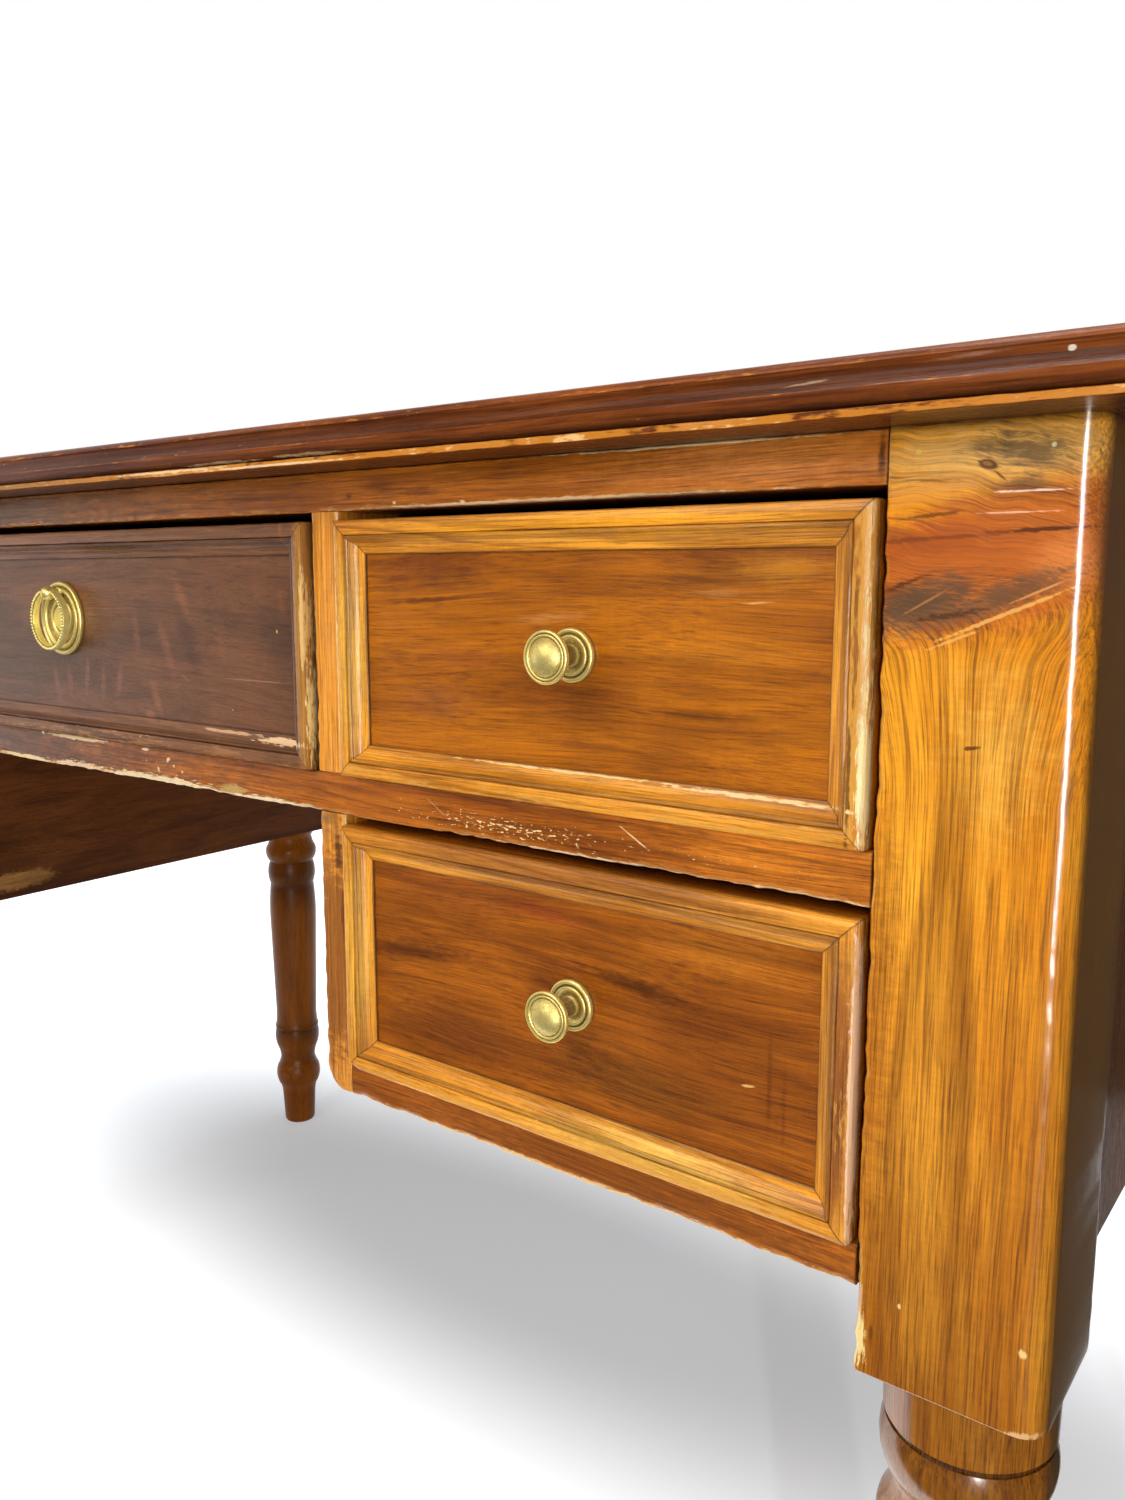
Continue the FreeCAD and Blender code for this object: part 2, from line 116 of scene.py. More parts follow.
def varnished_wood(name, light, deep, line, ring_mm=4.0, pith=(0, -30, 70), slope=0.04, wander=10,
                   line_strength=0.6, fibre_strength=0.5, streak=0.5, pore_strength=0.35, stain=0.7,
                   honey="#D99A40", bare="#E8C88C", wear=0.5, along=None, marks=(), marks_on_top=(),
                   flecks=(), rough=0.2, gloss=0.5, relief_mm=0.22):
    """Stained softwood under an old varnish: flat growth rings, fine fibres, cloudy stain, marks,
    bare wood where the piece's worn attribute and a noise meet, marks on top, and grime in the
    quirks. Some of the marks are painted light and shade, and some of the grime is painted shade.
    The grain runs along x of the piece's grain attribute, or of the desk turned by along."""
    material, shader, node = blank(name)
    place = node("TexCoord").outputs["Object"]
    here = node("VectorMath", {0: place, "Scale": 1000.0}, operation="SCALE").outputs[0]
    if along is None:
        grain = node("Attribute", attribute_name="grain").outputs["Vector"]
    else:
        grain = node("Mapping", {"Vector": here, "Rotation": along}).outputs[0]

    # Growth rings round the pith: they wander a few millimetres over a hand's length, their
    # spacing changes with the years, and each ends in a dark line of late wood
    slow = node("VectorMath", {0: grain, 1: (0.0035, 0.014, 0.014)},
                operation="MULTIPLY").outputs[0]
    drift = node("TexNoise", {"Vector": slow, "Scale": 1.0, "Detail": 2.0}).outputs["Color"]
    centred = node("VectorMath", {0: drift, 1: (0.5, 0.5, 0.5)}, operation="SUBTRACT").outputs[0]
    bend = node("VectorMath", {0: centred, 1: (0, 2 * wander, 2 * wander)},
                operation="MULTIPLY").outputs[0]
    bent = node("VectorMath", {0: grain, 1: bend}, operation="ADD").outputs[0]
    from_pith = node("VectorMath", {0: bent, 1: pith}, operation="SUBTRACT").outputs[0]
    flattened = node("VectorMath", {0: from_pith, 1: (slope, 1, 1)},
                     operation="MULTIPLY").outputs[0]
    radius = node("VectorMath", {0: flattened}, operation="LENGTH").outputs["Value"]
    lean_years = node("TexNoise", {"W": radius, "Scale": 0.06, "Detail": 2.0},
                      noise_dimensions="1D")
    years = node("Math", {0: radius, 1: 1 / ring_mm}, operation="MULTIPLY").outputs[0]
    years = node("Math", {0: lean_years.outputs[0], 1: 4.0, 2: years},
                 operation="MULTIPLY_ADD").outputs[0]
    season = node("Math", {0: years}, operation="FRACT").outputs[0]
    year = node("Math", {0: years}, operation="FLOOR").outputs[0]
    late = node("ValToRGB", {0: season}, steps=[
        (0.0, (0.25, 0.25, 0.25, 1)), (0.12, (0, 0, 0, 1)), (0.55, (0.15, 0.15, 0.15, 1)),
        (0.88, (1, 1, 1, 1)), (1.0, (0.3, 0.3, 0.3, 1))]).outputs[0]
    vigour = node("TexWhiteNoise", {"W": year}, noise_dimensions="1D").outputs["Value"]
    vigour = node("MapRange", {"Value": vigour, 3: 0.25, 4: 1.0}).outputs[0]
    late = node("Math", {0: late, 1: vigour}, operation="MULTIPLY").outputs[0]
    late = node("Math", {0: late, 1: line_strength}, operation="MULTIPLY").outputs[0]

    # Fibres under 1 mm wide, streaks of 5 mm, pores as dark dashes, and a cloudy stain, all drawn
    # out along the grain
    fine = node("VectorMath", {0: bent, 1: (0.02, 1.4, 1.4)}, operation="MULTIPLY").outputs[0]
    fibres = node("TexNoise", {"Vector": fine, "Scale": 1.0, "Detail": 4.0,
                               "Roughness": 0.75}).outputs[0]
    broad = node("VectorMath", {0: bent, 1: (0.007, 0.22, 0.22)}, operation="MULTIPLY").outputs[0]
    streaks = node("TexNoise", {"Vector": broad, "Scale": 1.0, "Detail": 3.0,
                                "Roughness": 0.65}).outputs[0]
    short = node("VectorMath", {0: bent, 1: (0.07, 1.5, 1.5)}, operation="MULTIPLY").outputs[0]
    dashes = node("TexNoise", {"Vector": short, "Scale": 1.0, "Detail": 1.0}).outputs[0]
    pores = node("MapRange", {"Value": dashes, 1: 0.58, 2: 0.72, 3: 0.0,
                              4: pore_strength}).outputs[0]
    wide = node("VectorMath", {0: grain, 1: (0.008, 0.03, 0.03)}, operation="MULTIPLY").outputs[0]
    cloud = node("TexNoise", {"Vector": wide, "Scale": 1.0, "Detail": 3.0,
                              "Roughness": 0.6}).outputs[0]
    cloud = node("MapRange", {"Value": cloud, 1: 0.36, 2: 0.66, 3: 0.0, 4: stain},
                interpolation_type="SMOOTHSTEP").outputs[0]

    colour = node("Mix", {0: cloud, 6: paint(light), 7: paint(deep)}, data_type="RGBA").outputs[2]

    # Marks lie in the stain, under the grain; some of them are painted light and shade
    if marks:
        coarse = node("VectorMath", {0: here, 1: (0.16, 0.16, 0.4)},
                      operation="MULTIPLY").outputs[0]
        fray = node("TexNoise", {"Vector": coarse, "Scale": 1.0, "Detail": 4.0,
                                 "Roughness": 0.65}).outputs[0]
        colour = blotch(node, colour, here, fray, marks)

    colour = node("Mix", {0: late, 6: colour, 7: paint(line)}, data_type="RGBA").outputs[2]
    band = node("ValToRGB", {0: streaks}, steps=[
        (0.34, (0.5, 0.42, 0.36, 1)), (0.5, (0.98, 0.98, 0.98, 1)), (0.66, (1.14, 1.15, 1.1, 1))
    ]).outputs[0]
    colour = node("Mix", {0: streak, 6: colour, 7: band}, data_type="RGBA",
                 blend_type="MULTIPLY").outputs[2]
    shade = node("ValToRGB", {0: fibres}, steps=[
        (0.38, (0.30, 0.21, 0.15, 1)), (0.49, (0.93, 0.92, 0.9, 1)), (0.62, (1.3, 1.3, 1.22, 1))
    ]).outputs[0]
    colour = node("Mix", {0: fibre_strength, 6: colour, 7: shade}, data_type="RGBA",
                 blend_type="MULTIPLY").outputs[2]
    colour = node("Mix", {0: pores, 6: colour, 7: paint("#2A1206")}, data_type="RGBA").outputs[2]

    # Ripples across the grain, left by the plane and the rubbing of the varnish: in the bump, and
    # as a painted sheen that lightens and darkens the colour a little
    level = node("VectorMath", {0: bent, 1: (0.7, 0.09, 0.09)}, operation="MULTIPLY").outputs[0]
    ripple = node("TexNoise", {"Vector": level, "Scale": 1.0, "Detail": 3.0,
                               "Roughness": 0.6}).outputs[0]
    sheen = node("MapRange", {"Value": ripple, 1: 0.35, 2: 0.65, 3: 0.96, 4: 1.035}).outputs[0]
    colour = node("Mix", {0: 1.0, 6: colour, 7: sheen}, data_type="RGBA",
                  blend_type="MULTIPLY").outputs[2]

    # Wear: first the stain goes honey coloured, then the wood is bare
    worn = node("Attribute", attribute_name="worn").outputs["Fac"]
    rub = node("VectorMath", {0: grain, 1: (0.14, 0.8, 0.8)}, operation="MULTIPLY").outputs[0]
    ragged = node("TexNoise", {"Vector": rub, "Scale": 1.0, "Detail": 4.0,
                               "Roughness": 0.7}).outputs[0]
    reach = node("Math", {0: ragged, 1: 1.3, 2: worn}, operation="MULTIPLY_ADD").outputs[0]
    ease = wear * 0.5
    thin = node("MapRange", {"Value": reach, 1: 1.3 - ease, 2: 1.6 - ease, 3: 0.0, 4: 0.9},
                interpolation_type="SMOOTHSTEP").outputs[0]
    raw = node("MapRange", {"Value": reach, 1: 1.84 - ease, 2: 1.98 - ease, 3: 0.0, 4: 0.9},
               interpolation_type="SMOOTHSTEP").outputs[0]
    colour = node("Mix", {0: thin, 6: colour, 7: paint(honey)}, data_type="RGBA").outputs[2]
    colour = node("Mix", {0: raw, 6: colour, 7: paint(bare)}, data_type="RGBA").outputs[2]

    # Flecks: small chips in the varnish, scattered inside an ellipse
    if flecks:
        crumbs = node("VectorMath", {0: here, 1: (0.36, 0.36, 0.95)},
                      operation="MULTIPLY").outputs[0]
        crumbs = node("TexNoise", {"Vector": crumbs, "Scale": 1.0, "Detail": 3.0,
                                   "Roughness": 0.6}).outputs[0]
    for centre, radii, tone, share in flecks:
        spot = node("Mapping", {"Vector": here, "Location": centre, "Scale": radii},
                    vector_type="TEXTURE").outputs[0]
        reach = node("VectorMath", {0: spot}, operation="LENGTH").outputs["Value"]
        reach = node("Math", {0: reach, 1: -0.12, 2: crumbs}, operation="MULTIPLY_ADD").outputs[0]
        chip = node("MapRange", {"Value": reach, 1: 0.66 - share, 2: 0.69 - share, 3: 0.0,
                                 4: 0.9}).outputs[0]
        colour = node("Mix", {0: chip, 6: colour, 7: paint(tone)}, data_type="RGBA").outputs[2]

    # Marks on top lie over everything, ragged along the grain: chips, and on the front right leg
    # painted shade, highlights and sheen as well
    if marks_on_top:
        colour = blotch(node, colour, here, ragged, marks_on_top)

    # Grime, and painted shade: darker in the quirks, under the top, in the seams round the drawer
    # fronts and at the ends of the bars
    dirt_and_shade = node("Attribute", attribute_name="dirt_and_shade").outputs["Fac"]
    grime_and_shade = node("Math", {0: ragged, 1: 0.9, 2: 0.35}, operation="MULTIPLY_ADD").outputs[0]
    grime_and_shade = node("Math", {0: dirt_and_shade, 1: grime_and_shade}, operation="MULTIPLY", use_clamp=True).outputs[0]
    colour = node("Mix", {0: grime_and_shade, 6: colour, 7: paint("#1B0D06")}, data_type="RGBA").outputs[2]

    # Varnish: glossy, a little duller in the open fibres, matt where it is gone
    dull = node("MapRange", {"Value": fibres, 1: 0.3, 2: 0.7, 3: rough + 0.14, 4: rough}).outputs[0]
    dull = node("Mix", {0: raw, 2: dull, 3: 0.62}).outputs[0]
    relief = node("Math", {0: late, 1: 0.35, 2: fibres}, operation="MULTIPLY_ADD").outputs[0]
    relief = node("Math", {0: ripple, 1: 0.25, 2: relief}, operation="MULTIPLY_ADD").outputs[0]
    relief = node("Math", {0: raw, 1: -0.9, 2: relief}, operation="MULTIPLY_ADD").outputs[0]
    bump = node("Bump", {"Strength": 0.5, "Distance": relief_mm * MM, "Height": relief}).outputs[0]
    join(material.node_tree, shader, {"Base Color": colour, "Roughness": dull, "IOR": 1.5,
                                      "Specular IOR Level": gloss, "Normal": bump})
    return material


def piece(name, runs, body, material, sharp=38):
    """Object from runs of rings of (place, grain, worn, grime and shade) points, riding on a body.
    Each run is a closed shell: its rings are bridged and its first and last ring are filled."""
    points = []
    faces = []
    for rings in runs:
        count = len(rings[0])
        first = len(points)
        for ring in rings:
            points += ring
        for j in range(len(rings) - 1):
            a = first + j * count
            for i in range(count):
                k = (i + 1) % count
                faces.append((a + i, a + k, a + count + k, a + count + i))
        faces.append(tuple(range(first, first + count)))
        faces.append(tuple(range(len(points) - count, len(points))))
    mesh = bpy.data.meshes.new(name)
    mesh.from_pydata([Vector(point[0]) * MM for point in points], [], faces)
    for label, kind, field in (("grain", "FLOAT_VECTOR", 1), ("worn", "FLOAT", 2),
                               ("dirt_and_shade", "FLOAT", 3)):
        layer = mesh.attributes.new(label, kind, "POINT")
        values = [point[field] for point in points]
        if kind == "FLOAT":
            layer.data.foreach_set("value", values)
        else:
            layer.data.foreach_set("vector", [number for value in values for number in value])
    work = bmesh.new()
    work.from_mesh(mesh)
    bmesh.ops.recalc_face_normals(work, faces=work.faces)
    work.to_mesh(mesh)
    work.free()
    mesh.polygons.foreach_set("use_smooth", [True] * len(mesh.polygons))
    mesh.set_sharp_from_angle(angle=math.radians(sharp))
    mesh.materials.append(material)
    made = bpy.data.objects.new(name, mesh)
    bpy.context.scene.collection.objects.link(made)
    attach(made, body)
    return made


def bar_outline(wide, deep, radii, wears, band=3.0, arc_steps=4, face_steps=1):
    """Section of a planed bar as (u, v, corner, edge weight, wear), with its four arrises rounded.
    The corners go front low, front high, back high, back low along u and then v. The face
    between the first two is cut into the given number of steps."""
    outline = []
    for index, (x, y) in enumerate(((0, 0), (wide, 0), (wide, deep), (0, deep))):
        radius = radii[index]
        inward_u = 1 if x == 0 else -1
        inward_v = 1 if y == 0 else -1
        beside_v = (x, y + inward_v * (radius + band))
        beside_u = (x + inward_u * (radius + band), y)
        before, after = (beside_v, beside_u) if index in (0, 2) else (beside_u, beside_v)
        outline.append((*before, index, 0.0, wears[index]))
        for step in range(arc_steps + 1):
            angle = math.radians(180 + 90 * index + 90 * step / arc_steps)
            middle = 1 - abs(2 * step / arc_steps - 1)
            outline.append((x + inward_u * radius + radius * math.cos(angle),
                            y + inward_v * radius + radius * math.sin(angle),
                            index, 0.7 + 0.3 * middle, wears[index]))
        outline.append((*after, index, 0.0, wears[index]))
        if index == 0:
            face_end = wide - radii[1] - band
            face = spaced(after[0], face_end, (face_end - after[0]) / face_steps)
            outline += [(u, 0, index, 0.0, wears[index]) for u in face[1:-1]]
    return outline


def bar_rings(outline, wide, deep, stations, seed, depth, to_place, to_grain, grimy_and_shaded_ends=False):
    """Rings along a bar whose arrises are knocked back by up to the depth. Each station is a place
    along the bar and how far the section is drawn in there."""
    rings = []
    for number, (s, inset) in enumerate(stations):
        # The ends of a bar are darkened: dark joints where the rails meet the legs, and painted
        # shade at the ends of the leg blocks, under the top and along the block's lower edge
        dirt_and_shade = 1.0 if grimy_and_shaded_ends and number in (0, len(stations) - 1) else 0.0
        ring = []
        for u, v, corner, edge, wear in outline:
            long_wave = noise.noise(Vector((s * 0.021, corner * 9.1, seed)))
            short_wave = noise.noise(Vector((s * 0.19, corner * 5.7, seed + 3.3)))
            chip = max(0.0, 0.25 + 0.9 * long_wave + 0.8 * short_wave) * wear
            pull = depth * chip * edge + inset
            toward_u = 1 if u < wide / 2 else -1
            toward_v = 1 if v < deep / 2 else -1
            drawn_u = u + toward_u * min(pull, abs(wide / 2 - u))
            drawn_v = v + toward_v * min(pull, abs(deep / 2 - v))
            worn = edge * min(1.0, 0.4 * wear + 0.6 * chip)
            if inset:
                worn = max(worn, 0.6 * min(1.0, wear))
            ring.append((to_place(drawn_u, drawn_v, s), to_grain(u, v, s), worn, dirt_and_shade))
        rings.append(ring)
    return rings


def spaced(low, high, step):
    """Even places from low to high, both ends included."""
    count = max(1, round((high - low) / step))
    return [low + (high - low) * i / count for i in range(count + 1)]


def along_arcs(rows, steps=6):
    """Points of a turned or moulded profile. A row of four is a point, a row of six adds the
    middle of an arc in front of it; the last two numbers are wear, and grime with painted shade."""
    points = [rows[0]]
    for row in rows[1:]:
        if len(row) == 4:
            points.append(row)
            continue
        ax, ay, _, _ = points[-1]
        bx, by, cx, cy = row[:4]
        d = 2 * (ax * (by - cy) + bx * (cy - ay) + cx * (ay - by))
        aa, bb, cc = ax * ax + ay * ay, bx * bx + by * by, cx * cx + cy * cy
        ox = (aa * (by - cy) + bb * (cy - ay) + cc * (ay - by)) / d
        oy = (aa * (cx - bx) + bb * (ax - cx) + cc * (bx - ax)) / d
        radius = math.hypot(ax - ox, ay - oy)
        start = math.atan2(ay - oy, ax - ox)
        through = math.atan2(by - oy, bx - ox)
        end = math.atan2(cy - oy, cx - ox)
        turn = (end - start) % math.tau
        if (through - start) % math.tau > turn:
            turn -= math.tau
        old_worn, old_dirt_and_shade = points[-1][2:]
        for step in range(1, steps + 1):
            share = step / steps
            angle = start + turn * share
            points.append((ox + radius * math.cos(angle), oy + radius * math.sin(angle),
                           old_worn + (row[4] - old_worn) * share,
                           old_dirt_and_shade + (row[5] - old_dirt_and_shade) * share))
    return points


leg_size, leg_corner, block_low, block_high = 64.0, 9.0, 426.0, 748.0
legs_half_width, legs_half_depth = 550.0, 309.0
turning_steps = 72

# Turned part, from the block down to the foot: radius, height, wear, and grime with painted shade
# in the grooves
leg_turning = [(30.5, 426, 0, 0.2), (30.04, 404.7, 0, 0.1), (28.97, 403.85, 0, 0.9),
               (28.97, 402.14, 0, 0.9), (29.59, 402.14, 0, 0.5),
               (30.96, 392.77, 25.77, 378.71, 0, 0), (26.99, 371.47, 30.35, 364.23, 0.3, 0),
               (30.96, 356.14, 26.38, 346.34, 0, 0.5), (29.13, 333.13, 26.99, 319.07, 0, 0.7),
               (26.54, 317.8, 0, 0.8), (28.21, 298.2, 28.67, 279.03, 0.1, 0), (28.67, 276.9, 0, 0),
               (25.16, 149.95, 0, 0), (25.31, 140.58, 26.23, 131.21, 0.3, 0.2),
               (27.14, 129.08, 26.23, 126.1, 0, 0.7), (27.6, 115.02, 25.62, 103.09, 0.1, 0),
               (22.57, 94.57, 21.35, 86.9, 0, 0.3), (22.72, 80.94, 25.93, 74.12, 0, 0),
               (27.45, 63.9, 22.42, 48.14, 0, 0), (21.2, 42.6, 20.59, 37.49, 0, 0.3),
               (18.76, 2.56, 0.4, 0), (17.54, 0, 0.5, 0.2)]

# On the front right leg, stains that lie under the grain, with painted shade and light among them
leg_marks = [
    # The lower end darker, stain with painted shade for the light falling off towards the floor,
    # and the inner arris above it
    ((518, -309, 370), (120, 200, 310), "#663204", 0.95, 0, 1.35, 0.15),
    ((490, -309, 560), (9, 60, 120), "#8A4A10", 0.6, 0, 1.2),
    # Pale wood, then the red round the knot; the pale band at the top is lightened further, painted
    # light against the shade under the top
    ((524, -309, 650), (26, 60, 42), "#FFC050", 0.6, 0, 1.1),
    ((520, -309, 736), (46, 60, 14), "#FFC468", 0.85, 0, 0.9),
    ((518, -309, 706), (66, 40, 27), "#C46224", 0.85, 17, 0.45, 0.7),
]

# On the same leg, on top of the grain: the knot and what surrounds it, then nicks, and painted
# shade and sheen
leg_knot_and_painted_light = [
    # Pale and red wood round the knot; the first pale patch, at the top, is partly painted light
    # against the shade under the top
    ((520, -309, 739), (60, 30, 12), "#F8B860", 0.55, 0, 0.9),
    ((500, -309, 728), (30, 30, 5), "#F09C3C", 0.6, 12, 0.9),
    ((514, -309, 709), (44, 30, 17), "#C06426", 0.62, 6, 0.7),
    ((542, -309, 706), (16, 30, 12), "#F09048", 0.6, 6, 0.9),
    # Smoky patches above it
    ((530, -309, 738), (22, 30, 8), "#5E4830", 0.8, -8, 0.9, 2.6),
    ((516, -309, 741), (12, 30, 4), "#6A5030", 0.5, 10, 0.8, 2.4),
    ((529, -309, 729), (11, 30, 2.2), "#54402F", 0.6, -6, 0.7, 2.2),
    # Smoky patches below it
    ((498, -309, 692), (27, 30, 11), "#70563C", 0.72, 16, 0.7, 2.2),
    ((524, -309, 696), (30, 30, 6), "#80583A", 0.7, 22, 0.6, 2.2),
    ((505, -309, 699), (9, 30, 4), "#A0623A", 0.6, 30, 0.6),
    ((499, -309, 695), (27, 30, 8.5), "#5A4430", 0.75, 17, 0.9, 2.8),
    ((526, -309, 697), (18, 30, 5.5), "#66482E", 0.6, 22, 0.9, 2.8),
    # Pale corner
    ((545, -309, 742), (5, 30, 5), "#C89040", 0.6, 0, 0.8),
    # Cracks and dark lines across the leg
    ((492, -309, 713), (14, 30, 1.2), "#4F2A14", 0.7, 3, 0.7, 2.4),
    ((502, -309, 731), (13, 30, 1.0), "#5E3A20", 0.6, 0, 0.8, 2.4),
    ((500, -309, 720.5), (15, 30, 0.9), "#4F2A18", 0.7, 6, 0.7, 2.4),
    ((532, -309, 715.5), (22, 30, 0.9), "#3A1C12", 0.85, 2, 0.7, 2.4),
    ((506, -309, 713.8), (18, 30, 0.9), "#4A2414", 0.7, 2, 0.7, 2.4),
    ((494, -309, 700), (12, 34, 1.2), "#3C2214", 0.7, 22, 0.7, 2.4),
    ((500, -309, 712), (34, 30, 7), "#A04A1C", 0.6, 4, 0.9, 2.2),
    ((508, -309, 690), (14, 34, 1.4), "#3C2214", 0.6, 10, 0.7, 2.4),
    # The knot, its heart and its tail
    ((517.2, -309, 734.9), (3.6, 10, 1.7), "#5B2E0E", 0.9, -16, 0.4, 0.6),
    ((517.0, -309, 735.2), (1.9, 10, 0.8), "#B07A40", 0.8, -16, 0.5, 0.6),
    ((521, -309, 731.5), (3.5, 10, 0.5), "#5B2E0E", 0.8, -40, 0.6, 0.6),
    # Long bright scratches below the knot
    ((524, -309, 690.5), (28, 20, 0.8), "#F0B058", 0.85, 23, 0.5, 2.0),
    ((534, -309, 697.6), (11, 20, 0.5), "#E09A50", 0.8, 24, 0.5),
    ((509, -309, 682.4), (12, 20, 0.6), "#F0B058", 0.8, 22, 0.5, 2.0),
    ((500, -309, 694), (10, 20, 0.5), "#B87A45", 0.7, 30, 0.5),
    # Two specks, then pale scratches with a painted highlight along them
    ((535.7, -309, 739.5), (0.8, 8, 0.8), "#E8DCA0", 0.9, 0, 0.4),
    ((496, -309, 740), (1.0, 6, 1.0), "#F4CE50", 0.9, 0, 0.4),
    ((531, -309, 726.8), (13, 8, 0.45), "#FFD8B8", 0.9, 0, 0.6, 2.4),
    ((526, -309, 720.7), (13, 8, 0.4), "#F4B894", 0.85, 0, 0.6, 2.4),
    ((505, -309, 729), (24, 8, 0.3), "#D89868", 0.6, 3, 0.6, 2.4),
    # Nicks, and the chipped inner arris and corner of the lower end
    ((516.6, -309, 649.5), (3.2, 10, 0.9), "#6B3208", 0.9, 10, 0.5),
    ((542.6, -309, 455.8), (1.3, 9, 2.2), "#F4CE80", 0.9, 10, 0.4),
    ((487.6, -309, 439), (3.4, 12, 11), "#F8DC90", 0.92, 0, 0.4, 3.2),
    ((544, -309, 427), (7, 12, 1.6), "#E8B880", 0.85, 10, 0.5, 2.4),
    ((492.5, -309, 441), (1.0, 12, 5), "#5A3008", 0.7, 0, 0.6, 2.4),
    ((502, -309, 456.3), (0.8, 12, 1.2), "#F0CC80", 0.85, 0, 0.4),
    # Painted shade on the outer side and on the rounded arris beside the knot, and a painted
    # greyish sheen on the side's lower half
    ((556.8, -262, 600), (12.6, 60, 600), "#5E3C12", 0.9, 0, 0.16, 0.06),
    ((553, -301, 716), (9, 12, 44), "#6E4426", 0.8, 0, 0.7),
    ((556.8, -262, 400), (12.6, 60, 150), "#84704A", 0.6, 0, 0.9, 0.1),
]

# White specks down the outer side
leg_flecks = [((553, -270, 560), (12, 42, 200), "#C8B890", 0.03)]

# Front legs: glossy, so that the rounded arris draws a clean highlight
leg_pine = varnished_wood("stained_varnished_pine_leg", "#FFAC2A", "#D67E0E", "#743806",
                          ring_mm=2.3, pith=(0, 26, 74), slope=0.03, wander=3.5, line_strength=0.55,
                          fibre_strength=0.7, streak=0.4, stain=0.8, wear=0.45, marks=leg_marks,
                          marks_on_top=leg_knot_and_painted_light, rough=0.11, gloss=0.85, relief_mm=0.05, flecks=leg_flecks)

# Back legs: stained darker, duller, with little grain showing; the darker colour is partly painted
# shade, as they stand back under the desk
back_leg_pine = varnished_wood("dark_varnished_pine_leg", "#965206", "#6E3A04", "#3C2008",
                               ring_mm=3.4, pith=(0, 26, 74), slope=0.03, wander=5,
                               line_strength=0.25, fibre_strength=0.3, streak=0.3, stain=0.6,
                               wear=0.1, rough=0.25, gloss=0.12)


def smooth(low, high, value):
    """Rises smoothly from 0 to 1 between two values."""
    share = min(1.0, max(0.0, (value - low) / (high - low)))
    return share * share * (3 - 2 * share)


def knot_swirl(u, z):
    """Along and across the grain at the front right leg's knot: it fans out below the knot and
    runs level and wavy through it."""
    upright = 30 + (u - 30) * (1 - 0.3 * smooth(630, 690, z))
    broad_wave = noise.noise(Vector((u * 0.04, z * 0.03, 4.2)))
    small_wave = noise.noise(Vector((u * 0.11, z * 0.09, 1.7)))
    level = 0.9 * (z - 650) + 0.12 * u + (6 * broad_wave + 2 * small_wave)
    share = smooth(674, 712, z)
    return z * (1 - share) + (500 + u) * share, upright * (1 - share) + level * share


for side_x, hand in ((-1, "left"), (1, "right")):
    for side_y, end in ((-1, "front"), (1, "back")):
        name = "leg_" + end + "_" + hand
        seed = 11.0 + 3 * side_x + 7 * side_y
        centre_x = side_x * (legs_half_width - leg_size / 2)
        centre_y = side_y * (legs_half_depth - leg_size / 2)

        def to_place(u, v, z):
            x = centre_x + side_x * (u - leg_size / 2)
            y = centre_y - side_y * (v - leg_size / 2)
            return (x, y, z)

        def to_grain(u, v, z):
            length, across = knot_swirl(u, z) if name == "leg_front_right" else (z, u)
            return (length + 90 * seed, across, v)

        outline = bar_outline(leg_size, leg_size, (1.5, leg_corner, 1.5, 1.5), (1.0, 0.4, 0.4, 0.4),
                              band=2.6, arc_steps=6, face_steps=20)
        stations = [(block_low, 0.25), (block_low + 0.2, 0.06), (block_low + 0.8, 0)]
        stations += [(z, 0) for z in spaced(block_low + 5, block_high, 3.0)]
        block = bar_rings(outline, leg_size, leg_size, stations, seed, 1.1, to_place, to_grain,
                          grimy_and_shaded_ends=True)
        turned = []
        for radius, z, worn, dirt_and_shade in along_arcs(leg_turning):
            ring = []
            for step in range(turning_steps):
                x = radius * math.cos(math.tau * step / turning_steps)
                y = radius * math.sin(math.tau * step / turning_steps)
                grain = (z + 90 * seed, leg_size / 2 + x, leg_size / 2 + y)
                ring.append(((centre_x + x, centre_y + y, z), grain, worn, dirt_and_shade))
            turned.append(ring)
        pine = leg_pine if side_y < 0 else back_leg_pine
        leg = piece("desk_" + name, [block, turned], "case", pine)
        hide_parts(name)

# ---------------------------------------------------------------- Front rails
# Planed softwood rails tenoned into the legs: one under the top, one under the upper
# drawers and one under each lower drawer. The same stain, redder, with bare lower arrises.

# Crumbs of bare wood, three patches on the middle rail and one along the top rail
rail_flecks = [
    ((332, -309, 600), (64, 8, 5), "#FFE4A4", 0.13),
    ((430, -309, 601), (60, 8, 5), "#FFDCA0", 0.05),
    ((88, -309, 604), (30, 8, 4), "#F0D8B4", 0.06),
    ((330, -309, 731), (150, 8, 2), "#E6C490", 0.05),
]

